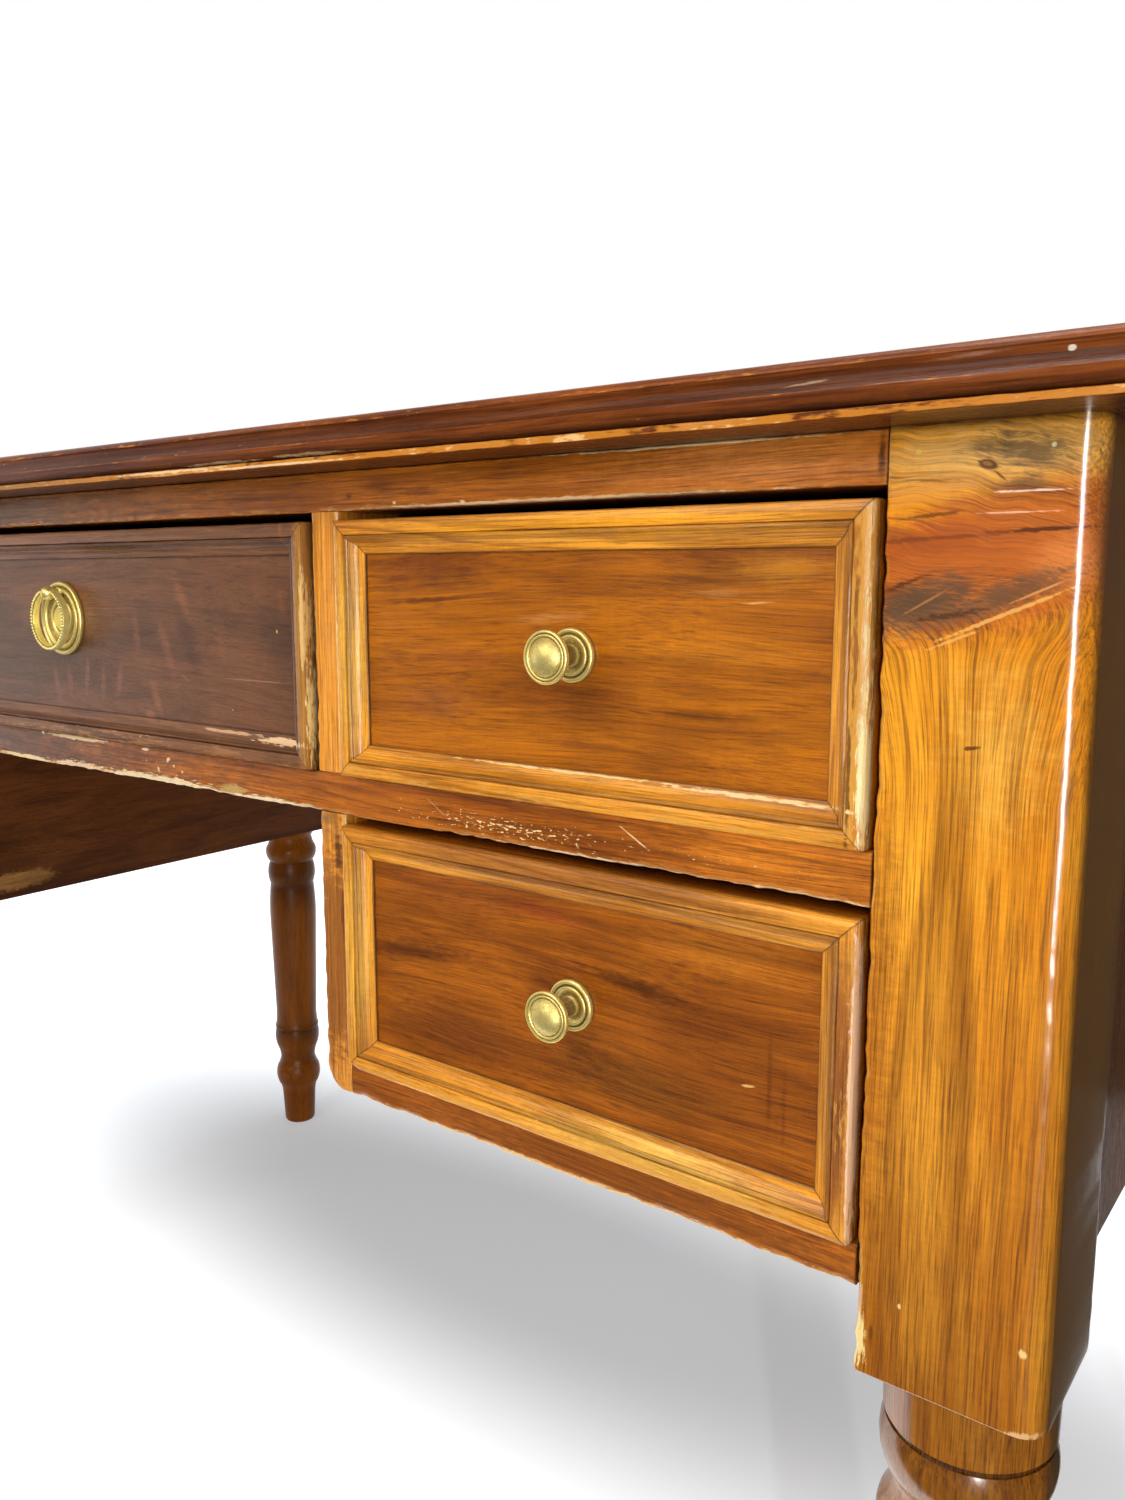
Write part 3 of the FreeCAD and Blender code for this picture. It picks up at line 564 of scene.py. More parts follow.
# Chips along the edges, scratches and smudges
rail_chips = [
    # Middle rail under the middle drawer: its lower edge, then its upper edge and face
    ((-52, -309, 593.5), (36, 8, 2.6), "#F0D09C", 0.95, 0, 0.3, 2.6),
    ((10, -309, 594), (30, 8, 3.2), "#EEC89C", 0.95, 0, 0.3, 2.8),
    ((85, -309, 593), (62, 8, 4.2), "#F4D8A8", 0.95, 0, 0.3, 2.6),
    ((150, -309, 595.5), (13, 8, 3.4), "#C09A58", 0.9, 0, 0.4, 2.8),
    ((178, -309, 593), (30, 8, 2.6), "#F4D8A8", 0.95, 0, 0.3, 2.8),
    ((10, -309, 610.4), (34, 8, 1.3), "#E8C890", 0.95, 0, 0.3, 2.2),
    ((-28, -309, 611), (2.0, 8, 1.2), "#F0D8B0", 0.9, 0, 0.3),
    ((75.7, -309, 609.8), (4, 8, 0.9), "#F0D4A8", 0.9, 0, 0.4),
    ((96, -309, 606), (2.2, 8, 1.2), "#E8C890", 0.9, 30, 0.4),
    ((87, -309, 600), (1.0, 8, 2.0), "#E8C890", 0.85, 20, 0.4),
    ((101, -309, 603), (0.9, 8, 1.1), "#E8C890", 0.8, 0, 0.4),
    ((108, -309, 600.5), (1.0, 8, 0.8), "#E8C890", 0.8, 0, 0.4),
    # Its right part: lower edge, then two scratches
    ((205, -309, 594), (6, 8, 1.6), "#E0B888", 0.85, 0, 0.4, 2.4),
    ((380, -309, 592.6), (80, 8, 1.6), "#F0D0A4", 0.9, 0, 0.3, 2.8),
    ((460, -309, 592.6), (34, 8, 1.8), "#F2D4A0", 0.9, 0, 0.3, 2.8),
    ((290, -309, 603.5), (9, 8, 0.35), "#C8905A", 0.8, -32, 0.5),
    ((392, -309, 604), (9, 8, 0.4), "#F2D4A0", 0.85, -30, 0.5),
    # Bottom rails: lower edges
    ((357, -309, 457.2), (130, 12, 2.0), "#F0C484", 0.9, 0, 0.4, 2.6),
    ((-330, -309, 457.5), (120, 12, 1.8), "#F0C484", 0.9, 0, 0.4, 2.6),
    # Top rail: both edges, smudges and specks
    ((340, -309, 730.8), (110, 8, 1.2), "#E8C490", 0.85, 0, 0.3, 2.6),
    ((410, -309, 747.6), (74, 8, 0.9), "#F0CC90", 0.9, 0, 0.4, 2.2),
    ((262, -309, 740), (14, 8, 4.5), "#5A2A14", 0.6, -10, 0.9, 2.4),
    ((284, -309, 737), (13, 8, 3.6), "#6A2C14", 0.55, 0, 0.9, 2.4),
    ((240, -309, 737), (3, 8, 2.2), "#4A2410", 0.7, 0, 0.7, 2.2),
    ((307, -309, 732), (1.6, 8, 0.9), "#F0D0A0", 0.85, 0, 0.4),
    ((268, -309, 733), (1.2, 8, 0.8), "#F0D0A0", 0.85, 0, 0.4),
]

# Browner and darker at the left and brighter at the right: painted light and shade, for the light
# that falls off across the desk. A painted shadow by the leg, and the lowest rail darker
rail_marks = [
    ((-60, -309, 603), (330, 60, 60), "#58361C", 0.92, 0, 1.2),
    ((-40, -309, 740), (300, 60, 60), "#60401C", 0.85, 0, 1.2),
    ((450, -309, 603), (70, 60, 60), "#E88A20", 0.75, 0, 1.2),
    ((440, -309, 740), (90, 60, 60), "#F09440", 0.75, 0, 1.2),
    # Painted shadow in the corner where the top rail meets the leg
    ((484, -309, 740), (2.0, 20, 12), "#3A1A08", 0.8, 0, 0.8),
    ((380, -309, 465), (160, 20, 20), "#8A4A10", 0.85, 0, 0.8),
]

# Redder than the legs, under a thinner varnish with a satin shine
rail_pine = varnished_wood("stained_varnished_pine_rail", "#C8701A", "#8E480A", "#4E2208",
                           ring_mm=5.0, pith=(0, -40, 10), slope=0.05, wander=7, line_strength=0.5,
                           fibre_strength=0.6, stain=0.8, wear=0.55, honey="#C07C38",
                           bare="#F0D4A0", marks=rail_marks, marks_on_top=rail_chips, flecks=rail_flecks,
                           gloss=0.4)
rails = (("front_top_rail", -486.0, 486.0, (1.3, 0.1, 0.1, 0.9)),
         ("front_mid_rail", -486.0, 486.0, (1.7, 0.3, 0.1, 0.7)),
         ("bottom_rail_left", -486.0, -232.0, (1.7, 0.4, 0.1, 0.5)),
         ("bottom_rail_right", 232.0, 486.0, (1.7, 0.4, 0.1, 0.5)))
for number, (name, low_x, high_x, wears) in enumerate(rails):
    low, high = (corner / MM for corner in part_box(name))
    deep, tall = high.y - low.y, high.z - low.z
    outline = bar_outline(deep, tall, (0.8, 0.8, 0.8, 0.8), wears, band=4.0)
    stations = [(low_x, 0), (low_x + 0.7, 0)] + [(x, 0) for x in spaced(low_x + 3, high_x - 3, 3.0)]
    stations += [(high_x - 0.7, 0), (high_x, 0)]
    rings = bar_rings(outline, deep, tall, stations, 31.0 + number, 0.6,
                      lambda u, v, x: (x, low.y + u, low.z + v),
                      lambda u, v, x: (x + 700 * number, v, u), grimy_and_shaded_ends=True)
    rail = piece("desk_" + name, [rings], "case", rail_pine)
    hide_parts(name)

# ---------------------------------------------------------------- Stiles
# Narrow uprights between the drawers, of honey coloured pine with upright grain. The lower
# pair closes the pedestals beside the kneehole and has its bottom corner rounded off.

# The lower right stile is browner, with dark stains near its top
stile_marks = [
    ((224, -309, 525), (30, 60, 66), "#9A5C22", 0.85, 0, 0.5),
    ((227, -309, 575), (4, 20, 14), "#4E2A14", 0.8, 0, 0.8),
    ((221, -309, 590), (10, 20, 5), "#7A5A30", 0.7, 0, 0.8),
    ((229, -309, 545), (2, 20, 16), "#6A3A1A", 0.7, 0, 0.8),
]

# Honey coloured, with close upright lines and a full shine
stile_pine = varnished_wood("stained_varnished_pine_stile", "#F09E38", "#C87A1C", "#8A4A10",
                            ring_mm=3.0, pith=(0, 60, 10), slope=0.02, wander=3, line_strength=0.5,
                            fibre_strength=0.65, stain=0.6, wear=0.5, marks=stile_marks)
corner_round = 14.0
for level in ("upper", "lower"):
    for side, sign in (("left", -1), ("right", 1)):
        name = level + "_stile_" + side
        low, high = (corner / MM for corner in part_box(name))
        wide, deep = high.x - low.x, high.y - low.y
        inner_x = min(abs(low.x), abs(high.x))

        def to_place(u, v, z):
            height = z - low.z
            cut = 0.0
            if level == "lower" and height < corner_round:
                cut = corner_round - math.sqrt(corner_round ** 2 - (corner_round - height) ** 2)
            return (sign * (inner_x + max(u, cut)), low.y + v, z)

        outline = bar_outline(wide, deep, (0.8, 0.8, 0.8, 0.8), (0.7, 1.3, 0.2, 0.3), band=2.2)
        stations = [(low.z, 0.7), (low.z + 0.3, 0.2), (low.z + 0.8, 0), (low.z + 1.6, 0),
                    (low.z + 3, 0)]
        stations += [(z, 0) for z in spaced(low.z + 5, high.z, 2.5)]
        rings = bar_rings(outline, wide, deep, stations, 51.0 + sign, 0.9, to_place,
                          lambda u, v, z: (z + 300 * sign, u, v + 40 * sign))
        stile = piece("desk_" + name, [rings], "case", stile_pine)
        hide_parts(name)

# ---------------------------------------------------------------- Top
# A glued-up board in a mitred frame of edge moulding: a thin fillet rubbed to honey, a round
# band, a quirk, a wide hollow and a rounded upper edge. Stained dark red-brown and varnished.

# A nail head, dull scratches, a browner left half, and bare spots on the lower fillet
top_chips = [
    ((470, -330, 759), (9, 20, 0.5), "#D8B088", 0.7, 4, 0.5),
    ((546, -338, 761), (1.4, 6, 1.0), "#F8ECD4", 0.95, 0, 0.4, 0.4),
    ((520, -338, 762), (14, 12, 0.8), "#B48468", 0.6, 2, 0.9),
    ((-220, -338, 749.4), (420, 20, 5), "#8A6234", 0.75, 0, 0.6, 0.8),
    ((190, -338, 751.6), (26, 20, 0.8), "#F0C898", 0.7, 0, 0.4, 3.0),
    ((250, -338, 752), (22, 20, 0.8), "#E8BC88", 0.7, 0, 0.4, 3.0),
    ((150, -338, 749.8), (50, 20, 0.6), "#F2D4A4", 0.7, 0, 0.4, 3.0),
    ((225, -338, 748.8), (60, 20, 0.6), "#F2D4A4", 0.7, 0, 0.4, 3.0),
]
top_flecks = [((120, -338, 758), (480, 20, 12), "#E0B488", 0.0)]

# The edge took much stain and its varnish is dull, so the profile reads by its own tones
top_edge_wood = varnished_wood("stained_varnished_top_edge", "#8A4616", "#602C0E", "#381604",
                               ring_mm=3.2, pith=(0, 30, -20), slope=0.03, wander=4,
                               line_strength=0.5, fibre_strength=0.6, stain=0.8, wear=0.45,
                               honey="#C87E28", bare="#E8B878", marks_on_top=top_chips, gloss=0.18,
                               flecks=top_flecks)

# The board above it: wide rings cut flat, under an even shine
top_board_wood = varnished_wood("stained_varnished_top_board", "#8A4C26", "#5E3014", "#34160A",
                                ring_mm=7.0, pith=(0, 80, 690), slope=0.04, wander=30,
                                line_strength=0.55, fibre_strength=0.5, stain=0.8, wear=0.0,
                                along=(0, 0, 0))


def mitred_strips(length, width, profile, wears, seed, to_place, step=4.0, depth=0.5):
    """Four runs of a moulding mitred round a rectangle: front, right, back and left. The profile
    gives distance in, height, wear, and grime with painted shade; each strip has its own wear."""
    runs = []
    for turn in range(4):
        run, reach = (length, width) if turn % 2 == 0 else (width, length)
        cosine, sine = ((1, 0), (0, 1), (-1, 0), (0, -1))[turn]
        mitre, straight = 1.6 / run, 4.8 / run
        shares = [-1, -1 + mitre] + spaced(-1 + straight, 1 - straight, 2 * step / run)
        shares += [1 - mitre, 1]
        rings = []
        for number, share in enumerate(shares):
            at_end = number in (0, len(shares) - 1)
            ring = []
            for index, (inset, height, worn, dirt_and_shade) in enumerate(profile):
                x = share * (run / 2 - inset)
                wave = noise.noise(Vector((x * 0.03, index * 0.35, seed + turn * 7)))
                nick = noise.noise(Vector((x * 0.25, index * 0.5, seed + turn * 7 + 3)))
                rub = worn * wears[turn] * (0.8 + 0.5 * wave + 0.3 * nick)
                pull = depth * worn * wears[turn] * max(0.0, 0.2 + wave + 0.6 * nick)
                y = inset + min(pull, 0.8) - reach / 2
                point = (x * cosine - y * sine, x * sine + y * cosine,
                         max(0.0, height - 0.6 * min(pull, 0.8)))
                grain = (x + seed * 37 + turn * 211, inset + seed, height)
                ring.append((to_place(*point), grain, min(rub, 1.1),
                             max(dirt_and_shade, 0.9 if at_end else 0.0)))
            rings.append(ring)
        runs.append(rings)
    return runs


low, high = (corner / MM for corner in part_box("top_edge_front"))
soffit_z = low.z
top_length = high.x - low.x
top_width = 2 * abs(low.y)

# Section of the edge from the soffit round to the upper face: inset, height, wear, and grime with
# painted shade, which darkens the soffit under the top and the quirks
edge_profile = along_arcs([(42, 0, 0, 0.5), (8, 0, 0, 0.45), (2.4, 0, 0.2, 0.1), (0.6, 0.3, 1.0, 0),
                           (0.5, 2.3, 1.05, 0), (0.8, 2.62, 0.9, 0.1), (2.4, 2.9, 0, 1.0),
                           (0.56, 5.22, 0.08, 7.92, 0.1, 0), (0, 8.28, 0.5, 0),
                           (0.24, 8.62, 0.45, 0), (1.36, 8.84, 0.1, 0.7),
                           (2.64, 12.06, 1.84, 14.94, 0.1, 0.15), (1.36, 15.3, 0.5, 0),
                           (2.08, 17.1, 4.0, 18.0, 0.15, 0), (12, 18, 0, 0), (42, 18, 0, 0)])
strips = mitred_strips(top_length, top_width, edge_profile, (1.0, 0.8, 0.7, 0.8), 3.0,
                       lambda x, y, z: (x, y, soffit_z + z))
for side, run in zip(("front", "right", "back", "left"), strips):
    strip = piece("desk_top_edge_" + side, [run], "case", top_edge_wood, sharp=30)
    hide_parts("top_edge_" + side)


def dress(material, *nodes):
    """Gives CAD nodes a material in place of the flat colour they came with."""
    for name in nodes:
        node = frame["nodes"][name]
        if not node.material_slots:
            node.data.materials.append(material)
        for held in node.material_slots:
            held.material = material


dress(top_board_wood, "top_board")

# ---------------------------------------------------------------- Case boards
# Wide boards of the same softwood close the pedestals: outer sides with upright grain, inner
# sides with grain from front to back, and a long and two short boards across the back.

# Outer sides: dark brown under an even varnish, with upright grain
side_wood = varnished_wood("stained_varnished_side_board", "#7E4A1E", "#5A3212", "#34180A",
                           ring_mm=6.5, pith=(620, 0, 0), slope=0.05, wander=20, line_strength=0.5,
                           fibre_strength=0.5, stain=0.8, along=(0, math.radians(90), 0))

# Inner sides: darker and duller, with a worn patch low at the front of the left one and a dark
# patch further back
inner_marks = [
    ((-218, -230, 474), (12, 34, 9), "#A87840", 0.9, 0, 0.5),
    ((-218, 40, 540), (8, 90, 5), "#6E3F1A", 0.5, 0, 0.9),
]
inner_wood = varnished_wood("stained_varnished_inner_board", "#6C3C18", "#4C280E", "#2C1406",
                            ring_mm=6.0, pith=(0, 180, 520), slope=0.04, wander=18,
                            line_strength=0.5, fibre_strength=0.5, stain=0.8,
                            along=(0, 0, math.radians(90)), marks=inner_marks, gloss=0.3)

# Back boards: stained but hardly varnished, so nearly matt
back_wood = varnished_wood("stained_back_board", "#6B4022", "#48270F", "#2C1508", ring_mm=7.0,
                           pith=(0, 250, 640), slope=0.04, wander=24, line_strength=0.5,
                           fibre_strength=0.6, stain=0.7, along=(0, 0, 0), rough=0.4)
dress(side_wood, "side_panel_left", "side_panel_right")
dress(inner_wood, "inner_panel_left", "inner_panel_right")
dress(back_wood, "back_boards")

# ---------------------------------------------------------------- Drawer boxes and runners
# Bare pine, never stained, gone tan and dusty with age: grooved sides, back, thin bottom, and
# the bars inside the case that the drawers slide on.

# Pale and dry, with no varnish to shine
bare_pine = varnished_wood("bare_aged_pine", "#C79A62", "#A87A45", "#8A5A2C", ring_mm=5.5,
                           pith=(0, 60, 560), slope=0.05, wander=16, line_strength=0.5,
                           fibre_strength=0.45, stain=0.7, along=(0, 0, math.radians(90)),
                           rough=0.55)
drawers = ("middle", "upper_left", "upper_right", "lower_left", "lower_right")
for name in drawers:
    dress(bare_pine, *("drawer_" + name + "_" + part for part in ("sides", "back", "bottom")))
dress(bare_pine, "guided_runners")
dress(inner_wood, "slim_runners")

# ---------------------------------------------------------------- Drawer fronts
# Flat figured boards with level grain inside the mouldings. The pedestal drawers are a warm
# red-brown with dark streaks; the middle one took the stain darker and cooler.

# Dark streaks and paler patches of the upper fronts, and the knob's painted shadow
upper_marks = [
    ((285, -306, 704), (50, 20, 13), "#7A3E18", 0.6, 0, 0.9),
    ((284, -306, 692), (26, 20, 1.8), "#5A2A10", 0.7, 3, 0.8),
    ((415, -306, 700), (46, 20, 4.5), "#7A4410", 0.6, 2, 0.9),
    ((350, -306, 686), (24, 20, 3), "#D08A44", 0.6, 6, 0.9),
    ((425, -306, 696), (14, 20, 2.4), "#B07C48", 0.45, 0, 0.9),
    ((449, -306, 704), (26, 20, 8), "#CC8420", 0.6, 0, 0.9),
    # Under the knob: a dark streak with the knob's shadow painted into it
    ((362, -306, 658), (40, 20, 4), "#6E360C", 0.65, -2, 0.9),
    ((417, -306, 652), (34, 20, 3.4), "#6A360C", 0.65, 0, 0.9),
    ((372, -306, 637), (42, 20, 3), "#7E4410", 0.6, -3, 0.9),
    ((420, -306, 675), (60, 20, 8), "#C87818", 0.5, 0, 0.9),
    ((290, -306, 650), (30, 20, 12), "#94542A", 0.5, 0, 0.9),
    ((441, -306, 693), (7, 20, 0.6), "#E0A860", 0.7, 4, 0.5),
    ((300, -306, 668), (34, 20, 7), "#A4541C", 0.5, 0, 0.9),
    ((-350, -306, 716), (70, 20, 5), "#6A3315", 0.5, 0, 0.9),
]
upper_front = varnished_wood("stained_figured_board_upper", "#BE6C0C", "#8A480A", "#542608",
                             ring_mm=8.0, pith=(330, -350, 610), slope=0.10, wander=16,
                             line_strength=0.32, fibre_strength=0.45, streak=0.24, stain=0.9,
                             along=(0, 0, 0), gloss=0.35, marks=upper_marks)

# The lower fronts: red above, dark streaks across the middle, brown below
lower_marks = [
    ((300, -306, 568), (52, 20, 12), "#B4611C", 0.6, 0, 0.9),
    ((345, -306, 567), (34, 20, 6), "#A84A1C", 0.6, -4, 0.9),
    ((272, -306, 536), (52, 20, 7), "#5A2A0C", 0.75, 6, 0.9),
    ((340, -306, 548), (60, 20, 3), "#6E3410", 0.6, -6, 0.8),
    ((394, -306, 545), (34, 20, 5), "#4A2208", 0.8, -6, 0.9),
    ((430, -306, 566), (50, 20, 14), "#C67418", 0.65, 0, 0.9),
    ((388, -306, 505), (60, 20, 16), "#7A480E", 0.6, 0, 0.9),
    ((300, -306, 505), (50, 20, 16), "#7E4210", 0.6, 0, 0.9),
    ((442, -306, 518), (4, 20, 0.7), "#F0B868", 0.8, 10, 0.5),
    ((450, -306, 520), (1.4, 20, 26), "#6A3008", 0.6, 0, 0.8),
    ((456, -306, 512), (1.0, 20, 22), "#6A3008", 0.5, 0, 0.8),
    ((-330, -306, 560), (60, 20, 5), "#4C2009", 0.6, 4, 0.9),
]
lower_front = varnished_wood("stained_figured_board_lower", "#B0600C", "#804008", "#4A1E06",
                             ring_mm=9.0, pith=(380, -345, 600), slope=0.12, wander=18,
                             line_strength=0.42, fibre_strength=0.5, streak=0.3, stain=0.9,
                             along=(0, 0, 0), gloss=0.35, marks=lower_marks)

# The middle front: pale figure in short slanting strokes on a dark ground
middle_marks = [
    ((111, -306, 692), (6, 20, 20), "#945A3A", 0.7, 28, 0.9),
    ((98, -306, 662), (5.5, 20, 26), "#8E5638", 0.7, 22, 0.9),
    ((86, -306, 638), (5, 20, 14), "#965E3C", 0.75, 22, 0.9),
    ((80, -306, 629), (7, 20, 3), "#A0663E", 0.7, 0, 0.8),
    ((143, -306, 668), (4, 20, 15), "#885236", 0.6, 14, 0.9),
    ((134, -306, 637), (5, 20, 18), "#805034", 0.6, 14, 0.9),
    ((116, -306, 668), (9, 20, 26), "#4C2E1C", 0.6, 24, 0.8),
    ((196, -306, 672), (30, 20, 50), "#4E3220", 0.6, 0, 1.0),
    ((70, -306, 672), (4, 20, 24), "#84523A", 0.6, 6, 0.8, 0.8),
    ((52, -306, 646), (3.4, 20, 14), "#8C5842", 0.7, -14, 0.7, 0.8),
    ((36, -306, 644), (3.0, 20, 16), "#84503C", 0.7, -8, 0.7, 0.8),
    ((20, -306, 646), (3.0, 20, 15), "#8A5844", 0.65, -10, 0.7, 0.8),
    ((2, -306, 642), (4, 20, 12), "#84523E", 0.65, 8, 0.7, 0.8),
    ((-12, -306, 640), (4, 20, 14), "#8A5A48", 0.6, 12, 0.7, 0.8),
    ((190, -306, 690), (3.0, 20, 9), "#8A5030", 0.6, 10, 0.8),
    ((176, -306, 660), (3.0, 20, 11), "#7A4A2E", 0.6, -10, 0.8),
]
# A scratch and a few specks of bare wood
middle_chips = [
    ((168, -306, 651.6), (34, 20, 0.35), "#A0765A", 0.8, 0, 0.5, 1.0),
    ((186, -306, 676), (0.9, 8, 1.0), "#C8A850", 0.85, 0, 0.4, 0.6),
    ((150, -306, 636), (0.6, 8, 0.6), "#C8A890", 0.7, 0, 0.4, 0.6),
    ((112, -306, 650), (5, 8, 0.4), "#9A7058", 0.6, -30, 0.5),
]
middle_front = varnished_wood("stained_figured_board_middle", "#7A4C2E", "#583820", "#3A2212",
                              ring_mm=10.0, pith=(60, -350, 600), slope=0.12, wander=22,
                              line_strength=0.3, fibre_strength=0.28, streak=0.3, stain=0.9,
                              along=(0, 0, 0), gloss=0.35, marks=middle_marks, marks_on_top=middle_chips)

dress(middle_front, "drawer_middle_front")
dress(upper_front, "drawer_upper_left_front", "drawer_upper_right_front")
dress(lower_front, "drawer_lower_left_front", "drawer_lower_right_front")

# ---------------------------------------------------------------- Drawer mouldings
# Four mitred strips glued round each front: an outer band, a quirk, a bead and a hollow down
# to a thin lip. Honey pine; the upright outer bands are rubbed nearly to bare wood.

# Section from the inner lip out to the back of the outer side: inset, height, wear, and grime with
# painted shade, dark in the seam at the inner lip, in the quirks and at the foot
drawer_profile = along_arcs([(14.8, 0, 0, 1.0), (14.8, 1.1, 0.1, 0.8), (14.1, 1.54, 0.2, 0),
                             (11.1, 2.31, 9.03, 4.9, 0.35, 0.1), (8.66, 5.32, 0.1, 0.45),
                             (7.7, 6.44, 6.73, 5.32, 0.45, 0.45), (6.36, 6.58, 0.55, 0),
                             (2.66, 6.98, 0.6, 6.4, 0.75, 0), (0.05, 5.4, 0.8, 0),
                             (0, 2.5, 0.3, 0.3), (0, 0, 0, 1.0)])
moulding_height = 6.98
drawer_profile = [(inset, min(height, moulding_height), *rest)
                  for inset, height, *rest in drawer_profile]

# Tones of the strips round the right pedestal's drawers, some of them painted light and shade
moulding_marks = [
    # Lower drawer: right strip, and the left strip lightened, painted light where it faces the
    # lamps at the right
    ((478, -313, 531), (8, 60, 60), "#A2602E", 0.8, 0, 0.5, 0.5),
    ((473.5, -309, 531), (4.5, 20, 58), "#D89438", 0.7, 0, 0.5, 0.5),
    ((241, -310, 531), (8, 20, 60), "#FFC048", 0.7, 0, 0.6, 0.6),
    # Upper drawer: left strip, lightened in the same way, painted light
    ((242, -310, 668), (8, 20, 60), "#FFC452", 0.7, 0, 0.6, 0.6),
    # Top and bottom strips of the lower drawer; the top one darkened, a painted shadow under the
    # rail above it
    ((360, -309, 586), (130, 60, 8), "#A8682C", 0.8, 0, 0.6, 0.5),
    ((400, -310, 480), (90, 20, 9), "#FFC858", 0.85, 0, 0.9, 0.8),
    # Upper drawer: right strip, and the top strip lightened, painted light against the shade under
    # the top
    ((482, -312, 690), (5, 20, 60), "#B87838", 0.7, 0, 0.6, 1.0),
    ((360, -311, 720), (130, 20, 9), "#FFAC24", 0.9, 0, 0.8, 0.8),
]

# Bare wood down the outer strips and along the lower edges, and dark lines beside it
moulding_chips = [
    ((486.2, -312, 700), (2.2, 20, 34), "#EAC080", 0.85, 0, 0.5, 2.6),
    ((486, -312, 664), (2.6, 20, 24), "#F0CC8C", 0.9, 0, 0.4, 2.8),
    ((484.8, -312, 637), (3.4, 20, 25), "#F8E0A0", 0.95, 0, 0.25, 3.0),
    ((478.6, -312, 636), (1.0, 20, 26), "#4E3014", 0.75, 0, 0.5, 2.6),
    ((479.5, -312, 680), (1.2, 20, 24), "#7E4A20", 0.7, 0, 0.6, 2.6),
    ((440, -312, 625.4), (44, 20, 0.9), "#F6D698", 0.9, 0, 0.4, 3.2),
    ((360, -312, 626.2), (60, 20, 0.6), "#F4D494", 0.85, 0, 0.4, 3.2),
    ((483.6, -312, 530), (1.2, 20, 66), "#F2C49A", 0.9, 0, 0.3, 2.4),
    ((300, -312, 472), (50, 20, 0.8), "#FFE8B0", 0.85, 0, 0.4, 2.8),
    ((420, -312, 472), (60, 20, 0.9), "#FFE8B0", 0.85, 0, 0.4, 2.8),
    ((234.6, -312, 670), (1.3, 20, 56), "#F6D890", 0.85, 0, 0.4, 2.8),
    ((380, -312, 728.6), (90, 20, 0.7), "#F2C888", 0.8, 0, 0.4, 2.8),
]
moulding_flecks = [
    ((360, -312, 480), (140, 20, 10), "#FBE0A8", -0.02),
    ((478, -312, 600), (8, 20, 130), "#F6DCAC", 0.0),
]

# Bright honey pine with strong lines, satin where it isn't bare
moulding_pine = varnished_wood("stained_varnished_pine_moulding", "#F4A434", "#BA6E10", "#84440C",
                               ring_mm=2.6, pith=(0, 30, -16), slope=0.03, wander=3,
                               line_strength=0.6, fibre_strength=0.65, streak=0.5, stain=0.8,
                               wear=0.5, marks=moulding_marks, marks_on_top=moulding_chips,
                               flecks=moulding_flecks, gloss=0.4)

# The middle drawer's mouldings: stained dark, tan at both ends, bare at the right end and below
dark_chips = [
    ((211.8, -313, 682), (1.7, 20, 26), "#E8BC74", 0.9, 0, 0.35, 2.0),
    ((214.5, -313, 640), (2.3, 20, 34), "#F8DC90", 0.95, 0, 0.3, 2.0),
    ((215.8, -313, 618), (1.8, 20, 12), "#F4D48C", 0.95, 0, 0.3, 1.6),
    ((190, -313, 623.8), (20, 20, 2.0), "#F2C898", 0.92, 0, 0.3, 2.6),
    ((150, -313, 625), (26, 20, 1.0), "#E0AC7C", 0.85, 0, 0.4, 2.6),
    ((195, -313, 609.9), (30, 20, 1.0), "#E8BE88", 0.9, 0, 0.3, 2.4),
    ((60, -313, 610), (60, 20, 0.7), "#D8AC7C", 0.8, 0, 0.4, 2.8),
    ((199, -313, 725), (1.6, 20, 14), "#8E5A28", 0.7, 0, 0.6, 1.4),
]
dark_marks = [((x, -313, 668), (10, 20, 90), "#B47C38", 0.9, 0, 0.4, 0.6) for x in (214, -214)]
dark_flecks = [((60, -313, 618), (180, 20, 6), "#E8C896", 0.02)]
dark_moulding_pine = varnished_wood("dark_varnished_pine_moulding", "#865634", "#62402A", "#3C2216",
                                    ring_mm=2.6, pith=(0, 30, -16), slope=0.03, wander=3,
                                    line_strength=0.5, fibre_strength=0.55, stain=0.6, wear=0.42,
                                    honey="#A06C40", bare="#E4BE88", marks=dark_marks,
                                    marks_on_top=dark_chips, flecks=dark_flecks, gloss=0.35)


def ease_corner(place, inner, middle, length, tall, radius=11.0):
    """Lower corner beside the kneehole, planed round like the stile next to it."""
    x, y, z = place
    across = radius - (length / 2 - inner * (x - middle.x))
    down = radius - (z - middle.z + tall / 2)
    reach = math.hypot(across, down)
    if across <= 0 or down <= 0 or reach <= radius:
        return place
    share = radius / reach
    return (x - inner * across * (1 - share), y, z + down * (1 - share))


